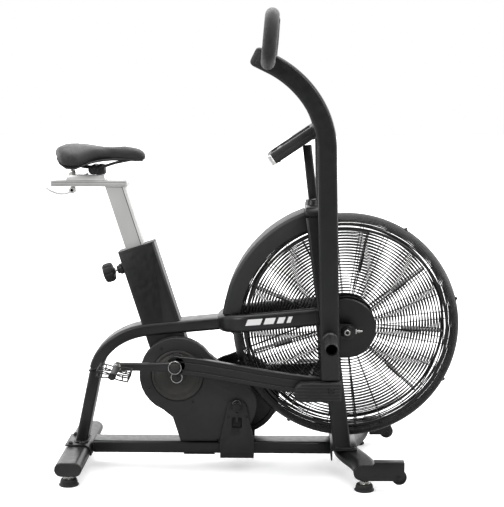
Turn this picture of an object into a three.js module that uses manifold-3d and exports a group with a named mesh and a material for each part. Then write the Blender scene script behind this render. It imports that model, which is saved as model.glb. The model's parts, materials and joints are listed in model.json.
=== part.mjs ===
// Air bike: a stationary bike whose pedals and swinging arms drive a caged fan.
// Millimetres, +Z up, +X forward (towards the fan), rider's right side at -Y.
// Lengths along X are measured from the fan axle; the last lines centre the bike.
import * as THREE from 'three';
import Module from 'manifold-3d';
import { mergeVertices } from 'three/addons/utils/BufferGeometryUtils.js';

const wasm = await Module();
wasm.setup();

// ---------------------------------------------------------------- driving sizes
const GAP = 0.3; // clearance between neighbouring pieces
const FAN_Z = 441; // fan axle height
const CAGE_R = 341; // outer radius of the wire cage
const CAGE_FACE = 58; // half width of the cage over its flat faces
const BAND_R = 300; // radius where the cage starts to curve to its rim
const HUB_DISC_R = 92; // plain disc in the middle of each cage face
const CRANK = { x: -506, z: 296 }; // bottom bracket axis
const THROW = 44; // eccentric throw of the crank pins
const PEDAL_REACH = 170; // crank pin to pedal axle
const JACK = { x: -327, z: 208 }; // jackshaft axis
const ARM_PIVOT = { x: -52, z: 428 }; // arm swing axis and foot peg
const ARM_JOINT = { x: -47, z: 276 }; // lower joint, arm to link
const ARM_Y = 146; // arm centre plane
const ARM_W = 30; // arm tube width across the bike
const LINK_Y = 118; // link centre plane
const LINK_W = 20; // link bar thickness
const MAST_Y = 91; // mast leg centre plane
const MAST_W = 30;
const RAIL = { bottom: 46, top: 84, halfWidth: 38 };
const STAB_Z = 51; // centre height of both stabilizers
const REAR_X = -815; // rear stabilizer centre
const REAR_HALF = 230; // half length of the rear stabilizer
const SEAT_LEAN = THREE.MathUtils.degToRad(17.6); // seat tube leans back
const SEAT_TOP = { x: -630, z: 678 }; // centre of the seat tube mouth
const SEAT_TUBE = { depth: 114, width: 72, wall: 3 };
const SEAT_POST = { depth: 58, width: 40, back: 4 }; // set back in its tube
const SEAT_RAIL = { rear: -882, front: -657, bottom: 861, top: 879, halfWidth: 27 };
const CENTRE_SHIFT = 281.3; // moves the middle of the bike's length to x = 0

// ---------------------------------------------------------------- finishes
const finish = (color, roughness, metalness) => ({ color, roughness, metalness });
const FRAME_PAINT = finish(0x1b1c1e, 0.42, 0.25);
const COVER_PLASTIC = finish(0x2a2b2d, 0.6, 0);
const WIRE_BLACK = finish(0x101112, 0.38, 0.3);
const RUBBER = finish(0x121212, 0.85, 0);
const FOAM = finish(0x2c2c2d, 0.9, 0);
const ALUMINIUM = finish(0xc9c9c6, 0.36, 0.9);
const STEEL = finish(0x8d8e90, 0.35, 1);
const DARK_STEEL = finish(0x232325, 0.4, 0.6);
const SADDLE_SKIN = finish(0x2b2c2e, 0.62, 0);

// ---------------------------------------------------------------- helpers
const bike = new THREE.Group();
bike.name = 'air_bike';

// Adds one named sub-part to the bike.
function part(name, geometry, look) {
  const mesh = new THREE.Mesh(geometry, new THREE.MeshStandardMaterial(look));
  mesh.name = name;
  bike.add(mesh);
  return mesh;
}

// Adds a left and a right copy of a geometry drawn for the right (-Y) side.
function pair(stem, geometry, look) {
  part(`${stem}_right`, geometry, look);
  part(`${stem}_left`, mirrored(geometry), look);
}

// Mirror image across the bike's middle plane, with its faces still outward.
function mirrored(geometry) {
  const copy = geometry.index ? geometry.toNonIndexed() : geometry.clone();
  copy.scale(1, -1, 1);
  const place = copy.attributes.position;
  for (let corner = 0; corner < place.count; corner += 3) {
    const second = new THREE.Vector3().fromBufferAttribute(place, corner + 1);
    const third = new THREE.Vector3().fromBufferAttribute(place, corner + 2);
    place.setXYZ(corner + 1, third.x, third.y, third.z);
    place.setXYZ(corner + 2, second.x, second.y, second.z);
  }
  copy.deleteAttribute('normal');
  copy.deleteAttribute('uv');
  return mergeVertices(copy);
}

function solidOf(geometry) {
  const bare = geometry.clone();
  bare.deleteAttribute('normal');
  bare.deleteAttribute('uv');
  const merged = mergeVertices(bare, 1e-4);
  const vertProperties = new Float32Array(merged.attributes.position.array);
  const triVerts = new Uint32Array(merged.index.array);
  return new wasm.Manifold(new wasm.Mesh({ numProp: 3, vertProperties, triVerts }));
}

function geometryOf(solid) {
  const mesh = solid.getMesh();
  const geometry = new THREE.BufferGeometry();
  geometry.setAttribute('position', new THREE.BufferAttribute(mesh.vertProperties, 3));
  geometry.setIndex(new THREE.BufferAttribute(mesh.triVerts, 1));
  geometry.computeVertexNormals();
  return geometry;
}

function joined(...geometries) {
  const solids = geometries.map(solidOf);
  return geometryOf(solids.reduce((sum, solid) => sum.add(solid)));
}

function cut(body, ...tools) {
  const solids = tools.map(solidOf);
  return geometryOf(solids.reduce((rest, tool) => rest.subtract(tool), solidOf(body)));
}

function common(first, second) {
  return geometryOf(solidOf(first).intersect(solidOf(second)));
}

// Rounded rectangle centred on (x, y).
function roundedRect(width, height, radius, x = 0, y = 0, Kind = THREE.Shape) {
  const [left, right] = [x - width / 2, x + width / 2];
  const [low, high] = [y - height / 2, y + height / 2];
  const outline = new Kind();
  outline.moveTo(left + radius, low);
  outline.lineTo(right - radius, low);
  outline.absarc(right - radius, low + radius, radius, -Math.PI / 2, 0);
  outline.lineTo(right, high - radius);
  outline.absarc(right - radius, high - radius, radius, 0, Math.PI / 2);
  outline.lineTo(left + radius, high);
  outline.absarc(left + radius, high - radius, radius, Math.PI / 2, Math.PI);
  outline.lineTo(left, low + radius);
  outline.absarc(left + radius, low + radius, radius, Math.PI, Math.PI * 1.5);
  return outline;
}

function hollowRect(width, height, radius, wall) {
  const outline = roundedRect(width, height, radius);
  const inner = radius - wall;
  const bore = roundedRect(width - 2 * wall, height - 2 * wall, inner, 0, 0, THREE.Path);
  outline.holes.push(bore);
  return outline;
}

function polygon(points) {
  return new THREE.Shape(points.map(([x, y]) => new THREE.Vector2(x, y)));
}

// Closed outline round two circles and the straight tangents between them.
function linkOutline(first, firstRadius, second, secondRadius) {
  const dx = second.x - first.x;
  const dz = second.z - first.z;
  const along = Math.atan2(dz, dx);
  const spread = Math.acos((firstRadius - secondRadius) / Math.hypot(dx, dz));
  const outline = new THREE.Shape();
  outline.absarc(first.x, first.z, firstRadius, along + spread, along - spread + 2 * Math.PI);
  outline.absarc(second.x, second.z, secondRadius, along - spread, along + spread);
  outline.closePath();
  return outline;
}

// Extrudes an XZ outline between two values of Y.
function sideExtrude(outline, yLow, yHigh, curveSegments = 5) {
  const depth = yHigh - yLow;
  const settings = { depth, bevelEnabled: false, curveSegments };
  const geometry = new THREE.ExtrudeGeometry(outline, settings);
  geometry.rotateX(Math.PI / 2);
  geometry.translate(0, yHigh, 0);
  return geometry;
}

// Extrudes an XY outline between two heights.
function planExtrude(outline, zLow, zHigh, curveSegments = 5) {
  const depth = zHigh - zLow;
  const geometry = new THREE.ExtrudeGeometry(outline, { depth, bevelEnabled: false, curveSegments });
  geometry.translate(0, 0, zLow);
  return geometry;
}

// Sweeps a section along a curve in a plane of constant Y: the section's x runs
// across the bike and its y lies in the plane of the curve.
function sweep(curve, section, steps, curveSegments = 3) {
  const settings = { steps, curveSegments, extrudePath: curve };
  return new THREE.ExtrudeGeometry(section, settings);
}

function box(xLow, xHigh, yLow, yHigh, zLow, zHigh) {
  const geometry = new THREE.BoxGeometry(xHigh - xLow, yHigh - yLow, zHigh - zLow);
  geometry.translate((xLow + xHigh) / 2, (yLow + yHigh) / 2, (zLow + zHigh) / 2);
  return geometry;
}

// Solid of revolution about a line along Y through (x, z); profile is [radius, y].
function turned(profile, x, z, segments = 24) {
  const points = profile.map(([radius, y]) => new THREE.Vector2(radius, y));
  const geometry = new THREE.LatheGeometry(points, segments);
  geometry.translate(x, 0, z);
  return geometry;
}

function rod(radius, yLow, yHigh, x, z, segments = 20) {
  return turned([[0, yLow], [radius, yLow], [radius, yHigh], [0, yHigh]], x, z, segments);
}

function ring(inner, outer, yLow, yHigh, x, z, segments = 24) {
  const profile = [[inner, yLow], [outer, yLow], [outer, yHigh], [inner, yHigh], [inner, yLow]];
  return turned(profile, x, z, segments);
}

const at = (x, y, z) => new THREE.Vector3(x, y, z);

// ---------------------------------------------------------------- base frame
const railLength = 720;
const railFront = -46;
const rail = new THREE.ExtrudeGeometry(hollowRect(76, 38, 7, 3), {
  depth: railLength, bevelEnabled: false, curveSegments: 3,
});
rail.rotateX(Math.PI / 2);
rail.rotateZ(Math.PI / 2);
rail.translate(railFront - railLength, 0, (RAIL.bottom + RAIL.top) / 2);
part('base_rail', rail, FRAME_PAINT);

const rearStab = sideExtrude(hollowRect(80, 42, 20.9, 3), -REAR_HALF, REAR_HALF, 5);
rearStab.translate(REAR_X, 0, STAB_Z);
part('rear_stabilizer', rearStab, FRAME_PAINT);

// Saddle plate: flat over the stabilizer, then curved down round its front.
const plateIn = 21 + GAP;
const plateOut = plateIn + 5;
const bendX = REAR_X + 19;
const rearPlate = new THREE.Shape();
rearPlate.moveTo(REAR_X - 36, STAB_Z + plateIn);
rearPlate.lineTo(bendX, STAB_Z + plateIn);
rearPlate.absarc(bendX, STAB_Z, plateIn, Math.PI / 2, -0.35, true);
rearPlate.absarc(bendX, STAB_Z, plateOut, -0.35, Math.PI / 2, false);
rearPlate.lineTo(REAR_X - 36, STAB_Z + plateOut);
rearPlate.closePath();
part('rear_clamp', sideExtrude(rearPlate, -62, 62, 6), FRAME_PAINT);

// Front stabilizer bows forward towards both ends.
const FRONT_HALF = 252;
const FRONT_X = 2;
const FRONT_BOW = 50;
class BowedLine extends THREE.Curve {
  getPoint(t, target = new THREE.Vector3()) {
    const y = (2 * t - 1) * FRONT_HALF;
    const share = Math.abs(y) / FRONT_HALF;
    const bow = FRONT_BOW * (1 - Math.cos(Math.min(share * 1.15, 1) * Math.PI)) / 2;
    return target.set(y, 0, FRONT_X + bow);
  }
}
const frontStab = sweep(new BowedLine(), roundedRect(72, 44, 20), 12, 3);
// the curve is drawn in XZ and turned down flat: x becomes Y and z becomes X
frontStab.applyMatrix4(new THREE.Matrix4().set(0, 0, 1, 0, 1, 0, 0, 0, 0, 1, 0, 55, 0, 0, 0, 1));
part('front_stabilizer', frontStab, FRAME_PAINT);

const frontPlate = polygon([
  [-44.5, 48], [-39.5, 48], [-39.5, 77.6], [34, 77.6], [34, 83], [-44.5, 83],
]);
part('front_clamp', sideExtrude(frontPlate, -112, 112), FRAME_PAINT);

// Wheel bracket: a channel that closes the end of the front stabilizer and
// carries a transport wheel between its two cheeks.
const WHEEL = { x: 148, z: 41, radius: 22, y: 243 };
const bracketSide = new THREE.Shape();
bracketSide.moveTo(36, 33);
bracketSide.lineTo(122, 33);
bracketSide.absarc(WHEEL.x, 47, 14, -Math.PI / 2, 0);
bracketSide.lineTo(162, 88);
bracketSide.lineTo(78, 88);
bracketSide.lineTo(70, 80);
bracketSide.lineTo(40, 80);
bracketSide.absarc(40, 56.5, 22, Math.PI / 2, Math.PI * 1.5);
bracketSide.closePath();
const bracket = cut(
  joined(
    sideExtrude(bracketSide, -258, -254),
    box(76, 162, -256, -226, 84, 88),
    sideExtrude(polygon([[92, 33], [162, 33], [162, 86], [92, 86]]), -230, -226),
  ),
  rod(5.5, -262, -220, WHEEL.x, WHEEL.z, 12),
);
pair('wheel_bracket', bracket, FRAME_PAINT);

// Transport wheel with its axle bolt in one piece.
const wheelProfile = [
  [0, -WHEEL.y - 18], [8, -WHEEL.y - 18], [8, -WHEEL.y - 15.2], [5, -WHEEL.y - 15.2],
  [5, -WHEEL.y - 10], [20, -WHEEL.y - 10], [WHEEL.radius, -WHEEL.y - 8],
  [WHEEL.radius, -WHEEL.y + 8], [20, -WHEEL.y + 10], [5, -WHEEL.y + 10],
  [5, -WHEEL.y + 17.3], [8, -WHEEL.y + 17.3], [8, -WHEEL.y + 20], [0, -WHEEL.y + 20],
];
pair('transport_wheel', turned(wheelProfile, WHEEL.x, WHEEL.z, 14), RUBBER);

// Levelling foot: rubber pad, steel jam nut and the stud's visible end.
function foot(x, y, top) {
  const profile = [
    [0, 0], [29, 0], [29, 4], [22, 20], [16, 20], [16, 26], [5, 26], [5, top - GAP], [0, top - GAP],
  ];
  const geometry = new THREE.LatheGeometry(
    profile.map(([radius, z]) => new THREE.Vector2(radius, z)), 14,
  );
  geometry.rotateX(Math.PI / 2);
  geometry.translate(x, y, 0);
  return geometry;
}
pair('foot_rear', foot(REAR_X, -211, 30), RUBBER);
pair('foot_front', foot(48, -238, 33), RUBBER);

// ---------------------------------------------------------------- rear arch and U bar
const legTop = at(-757, 0, 308);
const legSection = roundedRect(74, 35, 9);
const floorCut = box(-900, -700, -60, 60, 40, STAB_Z + plateOut + GAP);
const longLeg = sweep(new THREE.LineCurve3(at(-809.1, 0, 62), legTop), legSection, 1);
part('rear_leg', cut(longLeg, floorCut), FRAME_PAINT);

const archCurve = new THREE.CurvePath();
archCurve.add(new THREE.CubicBezierCurve3(
  at(-756.7, 0, 309.4), at(-744.3, 0, 368), at(-682, 0, 418), at(-602, 0, 428),
));
archCurve.add(new THREE.LineCurve3(at(-602, 0, 428), at(-389, 0, 449)));
const archBody = sweep(archCurve, roundedRect(84, 38, 10), 11, 2);
const seatAxis = at(-Math.sin(SEAT_LEAN), 0, Math.cos(SEAT_LEAN));

// A piece drawn along +Z from the seat tube's mouth, leaned back with the tube.
function leaned(geometry) {
  geometry.rotateY(-SEAT_LEAN);
  geometry.translate(SEAT_TOP.x, 0, SEAT_TOP.z);
  return geometry;
}

const tubeClearance = leaned(planExtrude(
  roundedRect(SEAT_TUBE.depth + 2 * GAP, SEAT_TUBE.width + 2 * GAP, 9), -330, -150, 3,
));
part('arch_tube', cut(archBody, tubeClearance), FRAME_PAINT);

// U bar: flat oval tube from the mast legs back round the rear of the fan.
const U = { rearX: -372, frontX: -78, side: 92, bend: 78, slope: 0.1, rearZ: 454.5 };
const uPath = new THREE.CurvePath();
const uStart = U.rearX + U.bend;
uPath.add(new THREE.LineCurve3(at(U.frontX, 0, -U.side), at(uStart, 0, -U.side)));
uPath.add(new THREE.CubicBezierCurve3(
  at(uStart, 0, -U.side), at(uStart - 0.56 * U.bend, 0, -U.side),
  at(U.rearX, 0, -U.side + 0.44 * U.bend), at(U.rearX, 0, -U.side + U.bend),
));
uPath.add(new THREE.LineCurve3(
  at(U.rearX, 0, -U.side + U.bend), at(U.rearX, 0, U.side - U.bend),
));
uPath.add(new THREE.CubicBezierCurve3(
  at(U.rearX, 0, U.side - U.bend), at(U.rearX, 0, U.side - 0.44 * U.bend),
  at(uStart - 0.56 * U.bend, 0, U.side), at(uStart, 0, U.side),
));
uPath.add(new THREE.LineCurve3(at(uStart, 0, U.side), at(U.frontX, 0, U.side)));
const uGeometry = sweep(uPath, roundedRect(30, 57, 14.9), 22, 2);
// drawn in XZ; z becomes Y, and every point climbs with its distance forward
uGeometry.rotateX(Math.PI / 2);
const uPlace = uGeometry.attributes.position;
for (let corner = 0; corner < uPlace.count; corner += 1) {
  const climb = (uPlace.getX(corner) - U.rearX) * U.slope;
  uPlace.setZ(corner, uPlace.getZ(corner) + U.rearZ + climb);
}

// ---------------------------------------------------------------- mast
const mastFoot = { x: -10, z: 83 + GAP };
const mastTop = { x: -97, z: 779 };
const mastSlope = (mastTop.x - mastFoot.x) / (mastTop.z - mastFoot.z);
const mastX = (z) => mastFoot.x + (z - mastFoot.z) * mastSlope;
const mastLine = new THREE.LineCurve3(
  at(mastX(40), -MAST_Y, 40), at(mastTop.x, -MAST_Y, mastTop.z),
);
const mastLong = sweep(mastLine, roundedRect(MAST_W, 52, 8), 1);
const mastLeg = cut(mastLong, box(-80, 60, -140, -60, 20, mastFoot.z));
const mastClearance = sweep(mastLine, roundedRect(MAST_W + 10, 52 + 2 * GAP, 5), 1);
part('u_bar', cut(uGeometry, mastClearance, mirrored(mastClearance)), FRAME_PAINT);
const nose = new THREE.Shape();
nose.moveTo(-70, FAN_Z - 21);
nose.lineTo(2, FAN_Z - 23);
nose.absarc(2, FAN_Z, 23, -Math.PI / 2, Math.PI / 2);
nose.lineTo(-70, FAN_Z + 23);
nose.closePath();
const axleBore = rod(8 + GAP, -130, -60, 0, FAN_Z, 16);
const plateOuter = -MAST_Y - MAST_W / 2 - 5;
const axlePlate = cut(sideExtrude(nose, plateOuter, -MAST_Y - MAST_W / 2 + 0.5), axleBore);
pair('mast', joined(mastLeg, axlePlate), FRAME_PAINT);

const bridge = box(-124, -71, -MAST_Y - 15, MAST_Y + 15, mastTop.z + GAP + 3.3, 808);
const bridgeEnds = sideExtrude(roundedRect(53, 30, 9, -97.5, 794), -140, 140, 4);
const topCorners = new THREE.ExtrudeGeometry(
  roundedRect(2 * MAST_Y + 30, 60, 24, 0, 778), { depth: 70, bevelEnabled: false, curveSegments: 5 },
);
topCorners.rotateX(Math.PI / 2);
topCorners.rotateZ(Math.PI / 2);
topCorners.translate(-133, 0, 0);
const socket = new THREE.CylinderGeometry(24, 24, 20, 20);
socket.rotateX(Math.PI / 2);
socket.translate(-99, 0, 812);
part('mast_bridge', joined(common(common(bridge, bridgeEnds), topCorners), socket), FRAME_PAINT);

// ---------------------------------------------------------------- fan, cage and shroud
const fanShaft = [
  [0, -126], [13, -126], [13, plateOuter - GAP], [8, plateOuter - GAP],
  [8, -CAGE_FACE - 14], [12, -CAGE_FACE - 14], [12, -CAGE_FACE - 6], [8, -CAGE_FACE - 6],
  [8, CAGE_FACE + 6], [8, -plateOuter + GAP], [13, -plateOuter + GAP], [13, 126], [0, 126],
];
part('fan_axle', turned(fanShaft, 0, FAN_Z, 14), STEEL);

const BLADES = 9;
const fanHub = [
  [8 + GAP, -40], [34, -40], [40, -30], [40, 30], [34, 40], [18, 40], [18, CAGE_FACE + 5.5],
  [34, CAGE_FACE + 5.5], [34, CAGE_FACE + 7], [30, CAGE_FACE + 7.5], [30, CAGE_FACE + 16],
  [34, CAGE_FACE + 16.5], [34, CAGE_FACE + 17.5], [8 + GAP, CAGE_FACE + 17.5], [8 + GAP, -40],
];
const bladeParts = [turned(fanHub, 0, 0, 14)];
for (let blade = 0; blade < BLADES; blade += 1) {
  const turn = (blade * 2 * Math.PI) / BLADES;
  for (const side of [-26, 26]) {
    const strut = box(36, 292, side - 2, side + 2, -2, 2);
    strut.rotateY(turn);
    bladeParts.push(strut);
  }
  const paddle = joined(
    box(200, 296, -24.5, 24.5, -1, 1),
    box(172, 224, -36, 36, -4, 3),
  );
  paddle.rotateY(turn);
  bladeParts.push(paddle);
}
const fanWheel = joined(...bladeParts);
fanWheel.translate(0, 0, FAN_Z);
part('fan_wheel', fanWheel, DARK_STEEL);

// One half of the cage: a plain centre disc, dished radial wires and round rings.
const SPOKES = 12;
function wireRing(radius, y, section) {
  const points = [
    [radius - section, y - section], [radius + section, y - section],
    [radius + section, y + section], [radius - section, y + section],
    [radius - section, y - section],
  ];
  return turned(points, 0, 0, 24);
}
const cageParts = [
  ring(20, HUB_DISC_R, -CAGE_FACE - 1, -CAGE_FACE + 3, 0, 0, 24),
  wireRing(195, -CAGE_FACE + 2, 2),
  ring(BAND_R - 5, BAND_R + 5, -CAGE_FACE, -CAGE_FACE + 5, 0, 0, 30),
  ring(CAGE_R - 6, CAGE_R, -9, -GAP / 2, 0, 0, 36),
];
const wireLine = new THREE.CurvePath();
wireLine.add(new THREE.LineCurve3(
  at(-CAGE_FACE + 2, 0, HUB_DISC_R - 6), at(-CAGE_FACE + 2.1, 0, BAND_R),
));
wireLine.add(new THREE.CubicBezierCurve3(
  at(-CAGE_FACE + 2.1, 0, BAND_R), at(-CAGE_FACE + 4, 0, BAND_R + 26),
  at(-26, 0, CAGE_R - 3), at(-4, 0, CAGE_R - 3),
));
const wireSection = polygon([[-2.2, -2.2], [2.2, -2.2], [2.2, 2.2], [-2.2, 2.2]]);
for (let spoke = 0; spoke < SPOKES; spoke += 1) {
  const wire = sweep(wireLine, wireSection, 4, 1);
  // drawn with x across the bike and z outward; stood up, then turned round the axle
  wire.rotateZ(Math.PI / 2);
  wire.rotateY(((spoke + 0.5) * 2 * Math.PI) / SPOKES);
  cageParts.push(wire);
}
const cageHalf = joined(...cageParts);
cageHalf.translate(0, 0, FAN_Z);
pair('cage', cageHalf, WIRE_BLACK);

// Shroud: a channel section bent round the upper rear quarter of the cage.
const SHROUD_R = 372;
const SHROUD_Y = 74;
class ShroudArc extends THREE.Curve {
  getPoint(t, target = new THREE.Vector3()) {
    const angle = THREE.MathUtils.degToRad(175.5 - t * 63.5);
    return target.set(SHROUD_R * Math.cos(angle), 0, FAN_Z + SHROUD_R * Math.sin(angle));
  }
}
const shroudSection = polygon([
  [-SHROUD_Y, 52], [-SHROUD_Y, 8], [-SHROUD_Y + 8, 0], [SHROUD_Y - 8, 0], [SHROUD_Y, 8],
  [SHROUD_Y, 52], [SHROUD_Y - 3, 52], [SHROUD_Y - 3, 9.5], [SHROUD_Y - 9.5, 3],
  [-SHROUD_Y + 9.5, 3], [-SHROUD_Y + 3, 9.5], [-SHROUD_Y + 3, 52],
]);
const uTop = (x) => U.rearZ + 28.5 + GAP + (x - U.rearX) * U.slope;
const belowU = polygon([[-420, 300], [-250, 300], [-250, uTop(-250)], [-420, uTop(-420)]]);
const shroudBody = sweep(new ShroudArc(), shroudSection, 16);
part('shroud', cut(shroudBody, sideExtrude(belowU, -120, 120)), COVER_PLASTIC);

// ---------------------------------------------------------------- seat tube
const tubeReach = (SEAT_TOP.z - RAIL.top) / Math.cos(SEAT_LEAN);
const tubeBody = leaned(planExtrude(
  hollowRect(SEAT_TUBE.depth, SEAT_TUBE.width, 8, SEAT_TUBE.wall), -tubeReach - 30, 0, 3,
));
const railCut = box(-600, -300, -60, 60, 0, RAIL.top + GAP);
const bracketHole = rod(22 + GAP, -60, 60, CRANK.x, CRANK.z, 24);
const pinSpot = -50; // pull pin's place along the seat tube, from its mouth
const pinHole = new THREE.CylinderGeometry(7, 7, 30, 16);
pinHole.rotateZ(Math.PI / 2);
pinHole.translate(-SEAT_TUBE.depth / 2, 0, pinSpot);
leaned(pinHole);
part('seat_tube', cut(tubeBody, railCut, bracketHole, pinHole), FRAME_PAINT);

// Moulded insert that guides the seat post, with a flange over the tube's mouth.
const insertBody = planExtrude(
  roundedRect(
    SEAT_TUBE.depth - 2 * SEAT_TUBE.wall - 2 * GAP, SEAT_TUBE.width - 2 * SEAT_TUBE.wall - 2 * GAP, 4,
  ), -120, 1, 2,
);
const insertCap = planExtrude(roundedRect(SEAT_TUBE.depth, SEAT_TUBE.width, 8), GAP, 3.3, 3);
const postHole = planExtrude(
  roundedRect(SEAT_POST.depth + 2 * GAP, SEAT_POST.width + 2 * GAP, 3), -200, 20, 2,
);
postHole.translate(-SEAT_POST.back, 0, 0);
const insertPin = new THREE.CylinderGeometry(6, 6, 60, 12);
insertPin.rotateZ(Math.PI / 2);
insertPin.translate(-SEAT_TUBE.depth / 2, 0, pinSpot);
part('seat_tube_insert', leaned(cut(joined(insertBody, insertCap), postHole, insertPin)), COVER_PLASTIC);

const shell = ring(12 + GAP, 22, -44, 44, CRANK.x, CRANK.z, 18);
part('bottom_bracket', shell, DARK_STEEL);

// ---------------------------------------------------------------- seat
// Post and slotted rail are welded into one T; a groove up the back of the post
// lets the pull pin's tip run along it.
const postTop = (SEAT_RAIL.bottom - SEAT_TOP.z) / Math.cos(SEAT_LEAN);
const postBar = planExtrude(roundedRect(SEAT_POST.depth, SEAT_POST.width, 3), -170, postTop + 40, 2);
const postGroove = box(-SEAT_POST.depth / 2 - 1, -SEAT_POST.depth / 2 + 9, -7, 7, -175, postTop - 20);
postBar.translate(-SEAT_POST.back, 0, 0);
postGroove.translate(-SEAT_POST.back, 0, 0);
const postCut = box(-900, -500, -60, 60, SEAT_RAIL.bottom + 4, 1100);
const railSection = roundedRect(2 * SEAT_RAIL.halfWidth, SEAT_RAIL.top - SEAT_RAIL.bottom, 2.5);
const seatRailBar = new THREE.ExtrudeGeometry(railSection, {
  depth: SEAT_RAIL.front - SEAT_RAIL.rear, bevelEnabled: false, curveSegments: 2,
});
seatRailBar.rotateX(Math.PI / 2);
seatRailBar.rotateZ(Math.PI / 2);
seatRailBar.translate(SEAT_RAIL.rear, 0, (SEAT_RAIL.bottom + SEAT_RAIL.top) / 2);
const railSlot = box(SEAT_RAIL.rear + 14, -725, -6, 6, SEAT_RAIL.bottom - 5, SEAT_RAIL.top + 5);
const postSolid = cut(leaned(cut(postBar, postGroove)), postCut);
part('seat_post', joined(postSolid, cut(seatRailBar, railSlot)), ALUMINIUM);

// Carriage: slides on the rail and carries the saddle; its clamp bolt hangs through the slot.
const CARRIAGE = { rear: -838, front: -719, bottom: SEAT_RAIL.top + GAP, top: 895 };
const LEVER = { x: -822, z: 849 };
const carriageSide = polygon([
  [CARRIAGE.rear, CARRIAGE.bottom], [CARRIAGE.front, CARRIAGE.bottom],
  [CARRIAGE.front - 5, CARRIAGE.top], [CARRIAGE.rear + 5, CARRIAGE.top],
]);
function upright(radius, zLow, zHigh, x, y, segments = 16) {
  const geometry = new THREE.CylinderGeometry(radius, radius, zHigh - zLow, segments);
  geometry.rotateX(Math.PI / 2);
  geometry.translate(x, y, (zLow + zHigh) / 2);
  return geometry;
}
const carriage = joined(
  sideExtrude(carriageSide, -25, 25),
  upright(9, CARRIAGE.top - 1, 909, LEVER.x, 0),
  upright(12, CARRIAGE.top - 1, 897.4, -741, 0),
  upright(4.5, LEVER.z + 11.5, CARRIAGE.bottom + 1, LEVER.x, 0),
);
part('seat_carriage', carriage, ALUMINIUM);

// Cam lever of the carriage clamp: a barrel under the rail and a curved handle.
const leverCurve = new THREE.CubicBezierCurve3(
  at(LEVER.x - 8, 0, LEVER.z - 7.5), at(LEVER.x - 30, 0, LEVER.z - 15),
  at(LEVER.x - 55, 0, LEVER.z - 14), at(LEVER.x - 80, 0, LEVER.z + 8),
);
const leverHandle = sweep(leverCurve, roundedRect(22, 5, 2), 8, 2);
part('seat_lever', joined(rod(10.5, -14, 14, LEVER.x, LEVER.z, 20), leverHandle), ALUMINIUM);

// Saddle clamp: block on the carriage with a cross barrel that grips the rails.
const CLAMP = { x: -755, z: 912 };
const clampBlock = joined(
  rod(14, -33, 33, CLAMP.x, CLAMP.z, 20),
  box(-752, -722, -20, 20, 897.8, 921),
  box(-745, -727, -24, 24, 916, 926),
);
part('saddle_clamp', clampBlock, DARK_STEEL);

// Saddle: the side view crossed with the plan view.
const saddleSide = new THREE.Shape();
saddleSide.moveTo(-872, 950);
saddleSide.bezierCurveTo(-876, 974, -864, 986, -846, 986);
saddleSide.bezierCurveTo(-800, 982, -750, 973, -700, 973);
saddleSide.bezierCurveTo(-670, 973, -655, 978, -637, 978);
saddleSide.bezierCurveTo(-610, 978, -593, 962, -595, 944);
saddleSide.bezierCurveTo(-597, 936, -612, 940, -663, 941);
saddleSide.lineTo(-705, 944);
saddleSide.lineTo(-735, 936);
saddleSide.lineTo(-755, 930);
saddleSide.lineTo(-805, 930);
saddleSide.bezierCurveTo(-836, 930, -858, 934, -872, 950);
const saddlePlan = new THREE.Shape();
saddlePlan.moveTo(-862, 0);
saddlePlan.bezierCurveTo(-880, 30, -876, 92, -820, 92);
saddlePlan.bezierCurveTo(-758, 92, -745, 27, -690, 24);
saddlePlan.bezierCurveTo(-650, 22, -595, 32, -594, 0);
saddlePlan.bezierCurveTo(-595, -32, -650, -22, -690, -24);
saddlePlan.bezierCurveTo(-745, -27, -758, -92, -820, -92);
saddlePlan.bezierCurveTo(-876, -92, -880, -30, -862, 0);
const saddleTop = common(sideExtrude(saddleSide, -110, 110, 6), planExtrude(saddlePlan, 900, 1000, 8));
const skirtSide = polygon([[-868, 946], [-838, 921], [-800, 909], [-772, 914], [-745, 932], [-745, 952], [-868, 952]]);
const skirts = [-1, 1].map((side) => sideExtrude(skirtSide, side * 72 - 12, side * 72 + 12));
const saddleShape = common(joined(saddleTop, ...skirts), planExtrude(saddlePlan, 900, 1000, 8));
part('saddle', saddleShape, SADDLE_SKIN);

// Pull pin: fluted knob, shaft, collar's pin tip; it slides square to the seat tube.
const knobProfile = [
  [0, -121], [27, -121], [29.5, -117], [29.5, -95], [26, -91], [4, -91],
  [4, -27], [0, -27],
];
const knob = new THREE.LatheGeometry(knobProfile.map(([r, s]) => new THREE.Vector2(r, s)), 24);
const knobFlutes = [];
for (let flute = 0; flute < 8; flute += 1) {
  const angle = (flute * Math.PI) / 4;
  const groove = new THREE.CylinderGeometry(4, 4, 40, 6);
  groove.translate(31.5 * Math.cos(angle), -106, 31.5 * Math.sin(angle));
  knobFlutes.push(groove);
}
const knobBody = cut(knob, ...knobFlutes);
knobBody.rotateZ(-Math.PI / 2);
knobBody.translate(0, 0, pinSpot);
part('pull_pin', leaned(knobBody), COVER_PLASTIC);

const collarProfile = [
  [4.5, -79], [12, -79], [12, -73], [16, -71], [16, -57 - GAP], [4.5, -57 - GAP], [4.5, -79],
];
const collar = new THREE.LatheGeometry(collarProfile.map(([r, s]) => new THREE.Vector2(r, s)), 14);
collar.rotateZ(-Math.PI / 2);
collar.translate(0, 0, pinSpot);
part('pull_pin_collar', leaned(collar), DARK_STEEL);

// ---------------------------------------------------------------- drive train
const BELT1 = { y: -53, half: 6 };
const BELT2 = { y: CAGE_FACE + 12, half: 4 };
const CRANK_PULLEY_R = 96;
const JACK_SMALL_R = 28;
const JACK_LARGE_R = 124;
const FAN_PULLEY_R = 30;
const shaftProfile = [[0, -80], [12, -80], [12, 80], [0, 80]];
part('crank_axle', turned(shaftProfile, CRANK.x, CRANK.z, 20), STEEL);

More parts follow.
